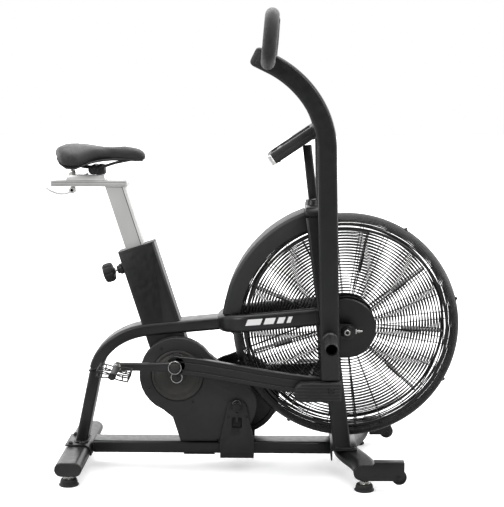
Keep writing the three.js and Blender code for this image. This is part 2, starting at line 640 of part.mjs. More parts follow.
// Belt pulley with low flanges either side of its belt.
function pulley(bore, radius, belt, x, z, segments) {
  const [low, high] = [belt.y - belt.half, belt.y + belt.half];
  const rim = radius + 3;
  const profile = [
    [bore, low - 2], [rim, low - 2], [rim, low - 0.5], [radius, low - 0.5], [radius, high + 0.5],
    [rim, high + 0.5], [rim, high + 2], [bore, high + 2], [bore, low - 2],
  ];
  return turned(profile, x, z, segments);
}
const crankPulley = pulley(12 + GAP, CRANK_PULLEY_R, BELT1, CRANK.x, CRANK.z, 28);
part('crank_pulley', crankPulley, DARK_STEEL);

const jackshaft = [
  [0, -88], [9, -88], [9, -66], [8, -66], [8, BELT1.y - 8], [31, BELT1.y - 8], [31, BELT1.y - 6.5],
  [JACK_SMALL_R, BELT1.y - 6.5], [JACK_SMALL_R, BELT1.y + 6.5], [31, BELT1.y + 6.5],
  [31, BELT1.y + 8], [12, BELT1.y + 8], [12, BELT2.y - 9], [8, BELT2.y - 9], [8, 92], [0, 92],
];
part('jackshaft', turned(jackshaft, JACK.x, JACK.z, 14), STEEL);
part('jackshaft_pulley', pulley(8 + GAP, JACK_LARGE_R, BELT2, JACK.x, JACK.z, 28), DARK_STEEL);

// A flat belt running round two pulleys.
function belt(first, firstRadius, second, secondRadius, track) {
  const thickness = 3.5;
  const slack = 1.4;
  const [low, high] = [track.y - track.half, track.y + track.half];
  const around = (extra) => linkOutline(first, firstRadius + extra, second, secondRadius + extra);
  return cut(
    sideExtrude(around(slack + thickness), low, high, 14),
    sideExtrude(around(slack), low - 1, high + 1, 14),
  );
}
part('drive_belt', belt(CRANK, CRANK_PULLEY_R, JACK, JACK_SMALL_R, BELT1), RUBBER);
part('fan_belt', belt(JACK, JACK_LARGE_R, { x: 0, z: FAN_Z }, FAN_PULLEY_R, BELT2), RUBBER);

// Drive cover: a shallow tray over the first belt, open on its inner side.
function coverOutline(inset, Kind = THREE.Shape) {
  const outline = new Kind();
  outline.absarc(CRANK.x, CRANK.z, 115 - inset, 0.62, Math.PI * 1.37);
  outline.lineTo(-519 + inset, 164);
  outline.lineTo(-497 + inset, RAIL.top + 12 + inset);
  outline.lineTo(-390, RAIL.top + 12 + inset);
  outline.absarc(-360, 205, 93 - inset, -1.35, 0.3);
  outline.bezierCurveTo(-280, 262, -330, 290, -412 - inset * 0.5, 362 - inset);
  outline.closePath();
  return outline;
}
const coverNear = -66;
const coverFar = -38.5;
const tray = cut(
  sideExtrude(coverOutline(0), coverNear, coverFar, 9),
  sideExtrude(coverOutline(2.5), coverNear + 2.5, coverFar + 5, 9),
  rod(15, -90, -20, CRANK.x, CRANK.z, 20),
  rod(13, -90, -20, JACK.x, JACK.z, 16),
);
part('drive_cover', tray, COVER_PLASTIC);

// Jackshaft stand: one strap under the rail, bent up into a tapered plate each side.
function standPlate(yLow, yHigh) {
  const outline = new THREE.Shape();
  outline.moveTo(JACK.x - 51, 44.5);
  outline.lineTo(JACK.x + 51, 44.5);
  outline.lineTo(JACK.x + 51, 100);
  outline.lineTo(JACK.x + 31, 190);
  outline.absarc(JACK.x, 192, 31, 0, Math.PI);
  outline.lineTo(JACK.x - 31, 190);
  outline.lineTo(JACK.x - 51, 100);
  outline.closePath();
  return cut(
    sideExtrude(outline, yLow, yHigh, 8),
    sideExtrude(roundedRect(30, 31, 4, JACK.x, 153), yLow - 5, yHigh + 5, 3),
    rod(9 + GAP, yLow - 5, yHigh + 5, JACK.x, JACK.z, 16),
  );
}
const stand = joined(
  standPlate(-74, -70),
  standPlate(82, 86),
  box(JACK.x - 51, JACK.x + 51, -73, 85, 42.5, 45.6),
);
part('jackshaft_stand', stand, FRAME_PAINT);

// ---------------------------------------------------------------- cranks, links and pedals
// The right pin stands straight up from the axle; the left one is half a turn on.
const WEB = { near: 92, far: 80 };
for (const [side, y, turn] of [['right', -1, 0], ['left', 1, Math.PI]]) {
  const hub = { x: 0, z: 0 };
  const pin = { x: 0, z: THROW };
  const span = (a, b) => (y < 0 ? [-b, -a] : [a, b]);
  const place = (geometry) => {
    geometry.rotateY(turn);
    geometry.translate(CRANK.x, 0, CRANK.z);
    return geometry;
  };
  const web = joined(
    sideExtrude(linkOutline(hub, 22, pin, 28), ...span(WEB.far + GAP, WEB.near), 10),
    rod(8, ...span(WEB.near - 1, 159), pin.x, pin.z, 16),
  );
  part(`crank_web_${side}`, place(web), DARK_STEEL);

  const axle = { x: -PEDAL_REACH, z: THROW };
  const pedalArm = cut(
    sideExtrude(linkOutline(pin, 18, axle, 13), ...span(134, 154), 8),
    rod(8 + GAP, ...span(130, 158), pin.x, pin.z, 16),
  );
  const pedalAxle = rod(6, ...span(153, 278), axle.x, axle.z, 14);
  part(`pedal_arm_${side}`, place(joined(pedalArm, pedalAxle)), DARK_STEEL);

  // Cage pedal: a frame with a middle barrel, tipped nose down.
  const frame = cut(
    sideExtrude(roundedRect(98, 30, 9), ...span(170, 272), 3),
    box(-42, -14, ...span(176, 266), -40, 40),
    box(14, 42, ...span(176, 266), -40, 40),
  );
  const slimmed = cut(
    frame,
    box(-60, -13, ...span(184, 258), -8, 8),
    box(13, 60, ...span(184, 258), -8, 8),
    rod(6 + GAP, ...span(150, 290), 0, 0, 14),
  );
  slimmed.rotateY(y < 0 ? 0.17 : -0.1);
  const reach = at(axle.x, 0, axle.z).applyAxisAngle(at(0, 1, 0), turn);
  slimmed.translate(CRANK.x + reach.x, 0, CRANK.z + reach.z);
  part(`pedal_${side}`, slimmed, COVER_PLASTIC);

  // Link bar: nearly straight from the eye on the crank pin to the arm joint.
  const linkPin = at(0, 0, THROW).applyAxisAngle(at(0, 1, 0), turn);
  const eye = { x: CRANK.x + linkPin.x, z: CRANK.z + linkPin.z };
  const reachX = ARM_JOINT.x - eye.x;
  const reachZ = ARM_JOINT.z - eye.z;
  const length = Math.hypot(reachX, reachZ);
  const linkCurve = new THREE.CubicBezierCurve3(
    at(0, 0, 0), at(length * 0.25, 0, 10), at(length * 0.62, 0, -14), at(length, 0, 0),
  );
  const [yLow, yHigh] = span(LINK_Y - LINK_W / 2, LINK_Y + LINK_W / 2);
  const bar = sweep(linkCurve, roundedRect(LINK_W, 54, 6), 8, 1);
  bar.translate(0, (yLow + yHigh) / 2, 0);
  const link = cut(
    joined(bar, rod(29, yLow, yHigh, 0, 0, 24), rod(26, yLow, yHigh, length, 0, 24)),
    rod(8 + GAP, yLow - 5, yHigh + 5, 0, 0, 16),
    rod(8, yLow - 5, yHigh + 5, length, 0, 16),
  );
  link.rotateY(-Math.atan2(reachZ, reachX));
  link.translate(eye.x, 0, eye.z);
  part(`link_${side}`, link, FRAME_PAINT);
}

// ---------------------------------------------------------------- arms
// Straight from the joint cover to shoulder height, bent back, then up to the end cap.
const armCurve = new THREE.CurvePath();
const armLow = at(-50, -ARM_Y, 306);
const armShoulder = at(-64, -ARM_Y, 985);
armCurve.add(new THREE.LineCurve3(armLow, armShoulder));
armCurve.add(new THREE.CubicBezierCurve3(
  armShoulder, at(-67, -ARM_Y, 1085), at(-130, -ARM_Y, 1172), at(-215, -ARM_Y, 1218),
));
armCurve.add(new THREE.LineCurve3(at(-215, -ARM_Y, 1218), at(-274, -ARM_Y, 1247)));
const armTube = sweep(armCurve, roundedRect(ARM_W, 57, 9), 16, 2);
const pivotBore = rod(16, -170, -120, ARM_PIVOT.x, ARM_PIVOT.z, 20);
const gripBore = rod(12 + GAP, -170, -148, -234, 1226, 16);
pair('arm', cut(armTube, pivotBore, gripBore), FRAME_PAINT);

// Ribbed cover over the arm's lower joint, open on the side that faces the link.
const coverSide = new THREE.Shape();
coverSide.moveTo(-17, 241);
coverSide.lineTo(-17, 301);
coverSide.lineTo(-128, 296);
coverSide.absarc(-128, 268, 28, Math.PI / 2, Math.PI * 1.5);
coverSide.lineTo(-17, 241);
const jointCover = cut(
  joined(
    sideExtrude(coverSide, -167, -132),
    box(-74, -28, -160, -133, 290, 304.8),
  ),
  rod(5, -175, -150, ARM_JOINT.x, ARM_JOINT.z, 14),
);
pair('joint_cover', jointCover, COVER_PLASTIC);

// Foam grip: a loop that leaves the arm outward, climbs and turns back in.
const GRIP_X = -234;
const loop = new THREE.CatmullRomCurve3([
  at(GRIP_X, -150, 1226), at(GRIP_X, -166, 1226.2), at(GRIP_X + 1, -230, 1229),
  at(GRIP_X + 4, -279, 1254), at(GRIP_X + 9, -284, 1306), at(GRIP_X + 12, -262, 1344),
  at(GRIP_X + 13, -215, 1357), at(GRIP_X + 13, -172, 1357),
]);
const gripTube = sweep(loop, roundedRect(41, 41, 20.4), 11, 2);
const gripTrim = box(-300, -150, -161.3, -100, 1150, 1300);
const gripPlug = rod(12, -166, -149, GRIP_X, 1226, 16);
pair('grip', joined(cut(gripTube, gripTrim), gripPlug), FOAM);

// Foot peg: pivot shaft, collar outside the arm and an open tube.
const pegProfile = [
  [0, plateOuter - GAP], [15.6, plateOuter - GAP], [15.6, -164], [22, -164], [24, -168],
  [24, -180], [19, -184], [18.5, -307], [15.5, -307], [15.5, -192], [0, -192],
];
pair('foot_peg', turned(pegProfile.reverse(), ARM_PIVOT.x, ARM_PIVOT.z, 16), FRAME_PAINT);

// ---------------------------------------------------------------- console
const CONSOLE = { length: 164, thick: 34, width: 190, x: -160, z: 988, tilt: 0.59 };
const stemLine = new THREE.LineCurve3(at(-100.8, 0, 825), at(-119, 0, 984));
const stemBar = sweep(stemLine, roundedRect(40, 27, 6), 1, 3);
const screen = planExtrude(
  roundedRect(CONSOLE.length, CONSOLE.width, 14), -CONSOLE.thick / 2, CONSOLE.thick / 2, 4,
);
const bezel = planExtrude(roundedRect(138, 150, 8), CONSOLE.thick / 2 - 2, CONSOLE.thick / 2 + 6, 3);
const slab = cut(screen, bezel);
slab.rotateY(-CONSOLE.tilt);
slab.translate(CONSOLE.x, 0, CONSOLE.z);
part('console', slab, COVER_PLASTIC);
const stemTrim = box(-100, 100, -60, 60, -CONSOLE.thick / 2 - GAP, 100);
stemTrim.rotateY(-CONSOLE.tilt);
stemTrim.translate(CONSOLE.x, 0, CONSOLE.z);
part('console_stem', cut(stemBar, stemTrim), FRAME_PAINT);

bike.position.set(CENTRE_SHIFT, 0, 0);
const root = new THREE.Group();
root.name = 'bike_root';
root.add(bike);

export default root;
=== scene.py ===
"""Looks of the air bike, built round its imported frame.

Metres, +Z up, +X forward towards the fan, the rider's right side at -Y.
Lengths named "ahead" are measured from the fan axle, like the frame's own.
"""

import json
import logging
import math
from dataclasses import dataclass
from enum import Enum
from typing import Iterable, Sequence

import bmesh
import bpy
from mathutils import Matrix, Vector, geometry, noise

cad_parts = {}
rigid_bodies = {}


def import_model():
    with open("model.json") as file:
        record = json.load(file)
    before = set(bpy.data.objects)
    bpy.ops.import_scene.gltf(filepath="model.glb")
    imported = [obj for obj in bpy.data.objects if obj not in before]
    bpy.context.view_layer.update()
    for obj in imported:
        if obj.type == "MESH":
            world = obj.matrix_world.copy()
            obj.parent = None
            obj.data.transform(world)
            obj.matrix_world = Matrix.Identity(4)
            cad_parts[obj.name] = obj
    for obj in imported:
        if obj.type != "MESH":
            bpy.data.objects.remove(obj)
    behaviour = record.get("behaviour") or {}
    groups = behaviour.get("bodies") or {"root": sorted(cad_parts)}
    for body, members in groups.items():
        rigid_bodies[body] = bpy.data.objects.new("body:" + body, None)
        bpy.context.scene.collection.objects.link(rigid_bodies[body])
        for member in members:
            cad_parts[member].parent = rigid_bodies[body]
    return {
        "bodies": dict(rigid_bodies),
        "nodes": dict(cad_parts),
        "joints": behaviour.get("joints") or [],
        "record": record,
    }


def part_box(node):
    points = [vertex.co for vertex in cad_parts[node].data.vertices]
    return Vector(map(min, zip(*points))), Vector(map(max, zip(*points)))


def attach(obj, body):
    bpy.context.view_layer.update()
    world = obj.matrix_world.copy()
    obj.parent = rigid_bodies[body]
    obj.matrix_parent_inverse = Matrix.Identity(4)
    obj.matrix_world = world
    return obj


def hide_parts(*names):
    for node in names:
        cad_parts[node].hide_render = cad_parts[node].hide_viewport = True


LOG = logging.getLogger("air_bike")
MM = 0.001
X_AXIS = Vector((1.0, 0.0, 0.0))
Y_AXIS = Vector((0.0, 1.0, 0.0))
Z_AXIS = Vector((0.0, 0.0, 1.0))
CROSSWISE = Matrix((Y_AXIS, Z_AXIS, X_AXIS)).transposed().to_4x4()
SEAT_LEAN = math.radians(17.6)
SEAT_UP = Vector((-math.sin(SEAT_LEAN), 0, math.cos(SEAT_LEAN)))
SEAT_REAR = Vector((-math.cos(SEAT_LEAN), 0, -math.sin(SEAT_LEAN)))
SEAT_MOUTH = (-630, 0, 678)
Section = list[tuple[float, float]]


class Side(Enum):
    """The rider's right or left side of the bike."""

    RIGHT = -1
    LEFT = 1

    @property
    def word(self) -> str:
        """The ending that this side's nodes and pieces carry."""
        return self.name.lower()


class Head(Enum):
    """Kinds of bolt head used on the bike."""

    HEX = "hex"
    SOCKET = "socket"
    BUTTON = "button"


class Grain(Enum):
    """Surface textures that a finish may carry."""

    POWDER = "powder"
    MOULDED = "moulded"
    LEATHER = "leather"
    FOAM = "foam"
    BRUSHED = "brushed"
    PLAIN = "plain"


# ------------------------------------------------------------------ places on the bike
def middle(node: str) -> Vector:
    """The centre of a frame node's box."""
    low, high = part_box(node)
    return (low + high) / 2


def at(ahead: float, across: float, height: float) -> Vector:
    """A point in metres from millimetres ahead of the fan axle, across and above the floor."""
    return Vector((middle("fan_axle").x + ahead * MM, across * MM, height * MM))


# ------------------------------------------------------------------ finishes
@dataclass(frozen=True)
class Finish:
    """A procedural surface: two close tones, a roughness range and a grain.

    Attributes:
        name: Name of the material.
        tone: Main linear colour.
        shade: Second colour that the noise mixes in.
        rough: Lowest and highest roughness.
        metallic: Metalness.
        grain: Kind of surface texture.
        grain_size: Scale of the texture.
        depth: Strength of the relief.
        coat: Weight of a clear coat.
        sheen: Weight of the sheen.
        stretch: Scale of the pattern along X, Y and Z.
    """

    name: str
    tone: tuple[float, float, float]
    shade: tuple[float, float, float]
    rough: tuple[float, float]
    metallic: float = 0.0
    grain: Grain = Grain.PLAIN
    grain_size: float = 900.0
    depth: float = 0.1
    coat: float = 0.0
    sheen: float = 0.0
    stretch: tuple[float, float, float] = (1.0, 1.0, 1.0)

    def material(self) -> bpy.types.Material:
        """Builds the material once and hands back the same one after that.

        Returns:
            The node material of this finish.
        """
        made = bpy.data.materials.get(self.name)
        if made:
            return made
        made = bpy.data.materials.new(self.name)
        made.use_nodes = True
        tree = made.node_tree
        shader = tree.nodes["Principled BSDF"]
        shader.inputs["Metallic"].default_value = self.metallic
        shader.inputs["Coat Weight"].default_value = self.coat
        shader.inputs["Coat Roughness"].default_value = 0.12
        shader.inputs["Sheen Weight"].default_value = self.sheen
        place = tree.nodes.new("ShaderNodeTexCoord")
        turn = tree.nodes.new("ShaderNodeMapping")
        turn.inputs["Scale"].default_value = self.stretch
        tree.links.new(place.outputs["Object"], turn.inputs["Vector"])
        cloud = self._noise(tree, turn, 14.0, 3.0)
        tint = tree.nodes.new("ShaderNodeValToRGB")
        tint.color_ramp.elements[0].position = 0.32
        tint.color_ramp.elements[0].color = (*self.tone, 1.0)
        tint.color_ramp.elements[1].position = 0.72
        tint.color_ramp.elements[1].color = (*self.shade, 1.0)
        tree.links.new(cloud.outputs["Fac"], tint.inputs["Fac"])
        tree.links.new(tint.outputs["Color"], shader.inputs["Base Color"])
        gloss = tree.nodes.new("ShaderNodeMapRange")
        gloss.inputs["From Min"].default_value = 0.3
        gloss.inputs["From Max"].default_value = 0.7
        gloss.inputs["To Min"].default_value = self.rough[0]
        gloss.inputs["To Max"].default_value = self.rough[1]
        mottle = self._noise(tree, turn, 60.0, 4.0)
        tree.links.new(mottle.outputs["Fac"], gloss.inputs["Value"])
        tree.links.new(gloss.outputs["Result"], shader.inputs["Roughness"])
        relief = self._relief(tree, turn)
        tree.links.new(relief.outputs["Normal"], shader.inputs["Normal"])
        return made

    def _noise(self, tree: bpy.types.NodeTree, turn: bpy.types.Node,
               scale: float, detail: float) -> bpy.types.Node:
        """Adds a noise texture on the mapped object coordinates.

        Args:
            tree: Node tree that takes it.
            turn: Mapping node that it reads.
            scale: Scale of the noise.
            detail: Octaves of the noise.

        Returns:
            The new noise node.
        """
        cloud = tree.nodes.new("ShaderNodeTexNoise")
        cloud.inputs["Scale"].default_value = scale
        cloud.inputs["Detail"].default_value = detail
        tree.links.new(turn.outputs["Vector"], cloud.inputs["Vector"])
        return cloud

    def _relief(self, tree: bpy.types.NodeTree, turn: bpy.types.Node) -> bpy.types.Node:
        """Adds the bump of this finish's grain.

        Args:
            tree: Node tree that takes it.
            turn: Mapping node that its texture reads.

        Returns:
            The bump node.
        """
        bump = tree.nodes.new("ShaderNodeBump")
        bump.inputs["Strength"].default_value = self.depth
        bump.inputs["Distance"].default_value = 0.0006
        if self.grain in (Grain.LEATHER, Grain.FOAM):
            cells = tree.nodes.new("ShaderNodeTexVoronoi")
            cells.inputs["Scale"].default_value = self.grain_size
            outlet = "Distance"
            if self.grain is Grain.LEATHER:
                cells.feature = "DISTANCE_TO_EDGE"
            tree.links.new(turn.outputs["Vector"], cells.inputs["Vector"])
            tree.links.new(cells.outputs[outlet], bump.inputs["Height"])
        else:
            fine = self._noise(tree, turn, self.grain_size, 2.0)
            tree.links.new(fine.outputs["Fac"], bump.inputs["Height"])
        return bump


POWDER_COAT = Finish("powder_coat", (0.0060, 0.0061, 0.0064), (0.0088, 0.0089, 0.0093),
                     (0.30, 0.42), 0.0, Grain.POWDER, 1100.0, 0.16)
COVER_GRAIN = Finish("cover_grain", (0.0125, 0.0125, 0.0128), (0.0165, 0.0165, 0.0168),
                     (0.48, 0.60), 0.0, Grain.MOULDED, 1500.0, 0.25)
COVER_WARM = Finish("cover_warm", (0.0330, 0.0315, 0.0290), (0.0400, 0.0384, 0.0355),
                    (0.52, 0.66), 0.0, Grain.MOULDED, 1300.0, 0.2)
BLACK_RUBBER = Finish("black_rubber", (0.0055, 0.0055, 0.0057), (0.0090, 0.0090, 0.0090),
                      (0.62, 0.80), 0.0, Grain.MOULDED, 800.0, 0.3)
GRIP_FOAM = Finish("grip_foam", (0.0110, 0.0110, 0.0113), (0.0170, 0.0170, 0.0174),
                   (0.82, 0.95), 0.0, Grain.FOAM, 700.0, 0.55, 0.0, 0.25)
CAGE_WIRE = Finish("cage_wire", (0.0030, 0.0030, 0.0032), (0.0048, 0.0048, 0.0050),
                   (0.26, 0.38), 0.0, Grain.POWDER, 1500.0, 0.08)
SATIN_SILVER = Finish("satin_silver", (0.66, 0.66, 0.65), (0.76, 0.76, 0.75), (0.26, 0.38),
                      0.45, Grain.BRUSHED, 260.0, 0.12, 0.0, 0.0, (0.12, 1.0, 0.12))
POST_SILVER = Finish("post_silver", (0.50, 0.50, 0.49), (0.57, 0.57, 0.56), (0.32, 0.44),
                     0.30, Grain.BRUSHED, 300.0, 0.14, 0.0, 0.0, (1.0, 1.0, 0.04))
ZINC = Finish("zinc", (0.52, 0.52, 0.50), (0.64, 0.63, 0.60), (0.22, 0.36),
              1.0, Grain.POWDER, 700.0, 0.15)
BLACK_STEEL = Finish("black_steel", (0.012, 0.012, 0.0125), (0.022, 0.022, 0.023),
                     (0.30, 0.42), 0.35, Grain.POWDER, 900.0, 0.14)
FORGED_CRANK = Finish("forged_crank", (0.020, 0.020, 0.021), (0.034, 0.034, 0.035),
                      (0.30, 0.46), 0.45, Grain.POWDER, 500.0, 0.22)
SADDLE_VINYL = Finish("saddle_vinyl", (0.0085, 0.0085, 0.0090), (0.0125, 0.0125, 0.0132),
                      (0.46, 0.60), 0.0, Grain.LEATHER, 520.0, 0.45, 0.0, 0.12)
# Pale finish of the seat post's painted highlight strips.
PAINTED_HIGHLIGHT = Finish("bright_stripe", (0.70, 0.70, 0.69), (0.78, 0.78, 0.77), (0.28, 0.40),
                       0.2, Grain.POWDER, 900.0, 0.05)
BELT_DUSTY = Finish("belt_dusty", (0.0300, 0.0260, 0.0200), (0.1500, 0.1250, 0.0900),
                    (0.70, 0.90), 0.0, Grain.MOULDED, 260.0, 0.5, 0.0, 0.0, (2.0, 2.0, 2.0))
STRIPE_WHITE = Finish("stripe_white", (0.78, 0.78, 0.77), (0.86, 0.86, 0.85), (0.34, 0.44),
                      0.0, Grain.POWDER, 1100.0, 0.1)
DISPLAY_GLASS = Finish("display_glass", (0.060, 0.075, 0.066), (0.072, 0.088, 0.078),
                       (0.10, 0.16), 0.0, Grain.PLAIN, 200.0, 0.02, 0.6)
BUTTON_GREY = Finish("button_grey", (0.16, 0.16, 0.165), (0.20, 0.20, 0.205), (0.5, 0.6),
                     0.0, Grain.MOULDED, 900.0, 0.2)
# Near black used as painted shade in grooves, holes, recesses and windows, and as the display's own
# dark digit segments.
PAINTED_SHADE_AND_DIGITS = Finish("hole_dark", (0.0025, 0.0025, 0.0025), (0.004, 0.004, 0.004), (0.7, 0.85),
                   0.0, Grain.MOULDED, 500.0, 0.2)

SLOT_FINISH = {
    "frame_paint": POWDER_COAT, "cover_plastic": COVER_GRAIN, "rubber": BLACK_RUBBER,
    "foam": GRIP_FOAM, "wire_black": CAGE_WIRE, "aluminium": SATIN_SILVER, "steel": ZINC,
    "dark_steel": BLACK_STEEL, "saddle_skin": SADDLE_VINYL,
}


# ------------------------------------------------------------------ workshop
def clear_selection() -> None:
    """Leaves the object mode with nothing selected."""
    if bpy.context.object and bpy.context.object.mode != "OBJECT":
        bpy.ops.object.mode_set(mode="OBJECT")
    bpy.ops.object.select_all(action="DESELECT")


def take(piece: bpy.types.Object) -> None:
    """Selects one piece alone and makes it the active one."""
    clear_selection()
    piece.select_set(True)
    bpy.context.view_layer.objects.active = piece


def named(name: str) -> bpy.types.Object:
    """Names the active object and its mesh and freezes its place into the mesh.

    Args:
        name: Name of the piece.

    Returns:
        The active object.
    """
    piece = bpy.context.active_object
    piece.name = name
    piece.data.name = name
    take(piece)
    bpy.ops.object.transform_apply(location=True, rotation=True, scale=True)
    return piece


def use_modifier(piece: bpy.types.Object, kind: str, **settings: object) -> None:
    """Adds a modifier to a piece and applies it.

    Args:
        piece: Mesh object that is changed.
        kind: Blender's name of the modifier type.
        **settings: Values set on the modifier.
    """
    take(piece)
    modifier = piece.modifiers.new(kind.lower(), kind)
    for key, value in settings.items():
        setattr(modifier, key, value)
    bpy.ops.object.modifier_apply(modifier=modifier.name)


def rounded(piece: bpy.types.Object, width: float, segments: int = 2,
            angle: float = 32.0) -> bpy.types.Object:
    """Rounds a piece's sharp edges.

    Args:
        piece: Mesh object that is rounded.
        width: Width of the rounding in metres.
        segments: Steps over the rounding.
        angle: Edges sharper than this many degrees are rounded.

    Returns:
        The same piece.
    """
    use_modifier(piece, "BEVEL", width=width, segments=segments, limit_method="ANGLE",
                 angle_limit=math.radians(angle), use_clamp_overlap=False)
    return piece


def smooth(piece: bpy.types.Object, angle: float = 38.0) -> bpy.types.Object:
    """Shades a piece smooth, keeping edges sharper than the angle crisp."""
    take(piece)
    bpy.ops.object.shade_smooth_by_angle(angle=math.radians(angle))
    return piece


def carved(piece: bpy.types.Object, *cutters: bpy.types.Object) -> bpy.types.Object:
    """Cuts other pieces out of a piece and deletes them.

    Args:
        piece: Mesh object that is cut.
        *cutters: Closed meshes that are taken away.

    Returns:
        The same piece.
    """
    for cutter in cutters:
        use_modifier(piece, "BOOLEAN", operation="DIFFERENCE", solver="EXACT", object=cutter)
        bpy.data.objects.remove(cutter, do_unlink=True)
    return piece


def merged(name: str, pieces: Sequence[bpy.types.Object]) -> bpy.types.Object:
    """Joins several pieces into one mesh object.

    Args:
        name: Name of the result.
        pieces: Objects that are joined.

    Returns:
        The joined object.
    """
    take(pieces[0])
    for piece in pieces:
        piece.select_set(True)
    bpy.context.view_layer.objects.active = pieces[0]
    if len(pieces) > 1:
        bpy.ops.object.join()
    return named(name)


def copied(piece: bpy.types.Object, name: str, place: Matrix) -> bpy.types.Object:
    """Copies a piece with its own mesh and moves the copy.

    Args:
        piece: Object that is copied.
        name: Name of the copy.
        place: Transform of the copy's mesh.

    Returns:
        The copy.
    """
    take(piece)
    bpy.ops.object.duplicate()
    twin = bpy.context.active_object
    twin.data.transform(place)
    if place.determinant() < 0:
        twin.data.flip_normals()
    return named(name)


def aimed(centre: Vector, outward: Vector) -> Matrix:
    """The place of something drawn along +Z when it stands at a point and faces outward."""
    return Matrix.Translation(centre) @ outward.to_track_quat("Z", "Y").to_matrix().to_4x4()


def block(name: str, low: Vector, high: Vector, edge: float = 0.0,
          segments: int = 2) -> bpy.types.Object:
    """A block between two corners with rounded edges.

    Args:
        name: Name of the piece.
        low: Lowest corner.
        high: Highest corner.
        edge: Width of the rounding, or 0 for none.
        segments: Steps over the rounding.

    Returns:
        The block.
    """
    clear_selection()
    bpy.ops.mesh.primitive_cube_add(size=1.0, location=(low + high) / 2)
    bpy.context.active_object.scale = high - low
    piece = named(name)
    return rounded(piece, edge, segments) if edge else piece


def turned(name: str, profile: Section, centre: Vector, axis: Vector = Y_AXIS,
           steps: int = 64) -> bpy.types.Object:
    """Spins a closed profile round an axis.

    Args:
        name: Name of the piece.
        profile: Pairs of radius and distance along the axis, in metres.
        centre: Point on the axis that the distances start from.
        axis: Direction of the axis.
        steps: Steps in a full turn.

    Returns:
        The turned piece.
    """
    radial = axis.orthogonal().normalized()
    clear_selection()
    bpy.ops.mesh.primitive_circle_add(vertices=len(profile), fill_type="NOTHING")
    piece = bpy.context.active_object
    for corner, (radius, along) in zip(piece.data.vertices, profile):
        corner.co = centre + axis * along + radial * radius
    piece.location = (0.0, 0.0, 0.0)
    bpy.ops.object.mode_set(mode="EDIT")
    bpy.ops.mesh.select_all(action="SELECT")
    bpy.ops.mesh.spin(steps=steps, angle=2 * math.pi, center=centre, axis=axis)
    tidy_open_mesh()
    return named(name)


def tidy_open_mesh() -> None:
    """Merges doubles, drops loose edges and turns normals outward on the mesh in edit mode."""
    bpy.ops.mesh.select_all(action="SELECT")
    bpy.ops.mesh.remove_doubles(threshold=1e-6)
    bpy.ops.mesh.select_all(action="SELECT")
    bpy.ops.mesh.delete_loose(use_verts=True, use_edges=True, use_faces=False)
    bpy.ops.mesh.select_all(action="SELECT")
    bpy.ops.mesh.normals_make_consistent(inside=False)
    bpy.ops.object.mode_set(mode="OBJECT")


def stations(path: Sequence[Vector], across: Vector | None = None,
             closed: bool = False) -> list[Matrix]:
    """The place of a section at each point of a path.

    Args:
        path: Points of the path.
        across: Direction that the section's first axis keeps to, or None to carry it along.
        closed: Whether the path comes back to its start.

    Returns:
        One transform for each point; the section lies in its XY plane.
    """
    places = []
    count = len(path)
    first = across or (path[1] - path[0]).orthogonal().normalized()
    for index, point in enumerate(path):
        before = path[index - 1] if index or closed else point
        after = path[(index + 1) % count] if index < count - 1 or closed else point
        tangent = (after - before).normalized()
        side = (first - first.dot(tangent) * tangent).normalized()
        if across is None:
            first = side
        up = tangent.cross(side)
        turn = Matrix((side, up, tangent)).transposed().to_4x4()
        places.append(Matrix.Translation(point) @ turn)
    return places


def drawn(name: str, section: Section, places: Sequence[Matrix],
          closed: bool = False) -> bpy.types.Object:
    """Extrudes a section from place to place.

    Args:
        name: Name of the piece.
        section: Outline of the section in its own plane.
        places: Transform of the section at each step.
        closed: Whether the last step runs back into the first.

    Returns:
        The drawn piece.
    """
    clear_selection()
    fill = "NOTHING" if closed else "NGON"
    bpy.ops.mesh.primitive_circle_add(vertices=len(section), fill_type=fill)
    piece = bpy.context.active_object
    for corner, (side, up) in zip(piece.data.vertices, section):
        corner.co = places[0] @ Vector((side, up, 0.0))
    piece.location = (0.0, 0.0, 0.0)
    bpy.ops.object.mode_set(mode="EDIT")
    bpy.ops.mesh.select_all(action="SELECT")
    steps = list(places) + ([places[0]] if closed else [])
    for before, after in zip(steps, steps[1:]):
        bpy.ops.mesh.extrude_region_move()
        grid = bmesh.from_edit_mesh(piece.data)
        picked = [corner for corner in grid.verts if corner.select]
        bmesh.ops.transform(grid, matrix=after @ before.inverted(), verts=picked)
        bmesh.update_edit_mesh(piece.data)
    tidy_open_mesh()
    return named(name)


def swept(name: str, section: Section, path: Sequence[Vector], across: Vector | None = None,
          closed: bool = False) -> bpy.types.Object:
    """Draws a section along a path; see stations() for how it turns."""
    return drawn(name, section, stations(path, across, closed), closed)


def plate(name: str, outline: Sequence[Vector], thickness: Vector,
          edge: float = 0.0, segments: int = 2) -> bpy.types.Object:
    """A flat plate from an outline and the step to its other face.

    Args:
        name: Name of the piece.
        outline: Points of one face, in order.
        thickness: Step from that face to the other.
        edge: Width of the rounding, or 0 for none.
        segments: Steps over the rounding.

    Returns:
        The plate.
    """
    clear_selection()
    bpy.ops.mesh.primitive_circle_add(vertices=len(outline), fill_type="NGON")
    piece = bpy.context.active_object
    for corner, point in zip(piece.data.vertices, outline):
        corner.co = point
    piece.location = (0.0, 0.0, 0.0)
    bpy.ops.object.mode_set(mode="EDIT")
    bpy.ops.mesh.select_all(action="SELECT")
    bpy.ops.mesh.extrude_region_move(TRANSFORM_OT_translate={"value": thickness})
    tidy_open_mesh()
    piece = named(name)
    return rounded(piece, edge, segments) if edge else piece


def oblong(width: float, height: float, radius: float, steps: int = 5) -> Section:
    """Outline of a rectangle with rounded corners.

    Args:
        width: Size along the section's first axis.
        height: Size along its second axis.
        radius: Corner radius.
        steps: Steps round each corner.

    Returns:
        The outline's points in order.
    """
    points: Section = []
    for quarter in range(4):
        side = (1 if quarter in (0, 3) else -1) * (width / 2 - radius)
        up = (1 if quarter in (0, 1) else -1) * (height / 2 - radius)
        for step in range(steps + 1):
            angle = (quarter + step / steps) * math.pi / 2
            points.append((side + radius * math.cos(angle), up + radius * math.sin(angle)))
    return points


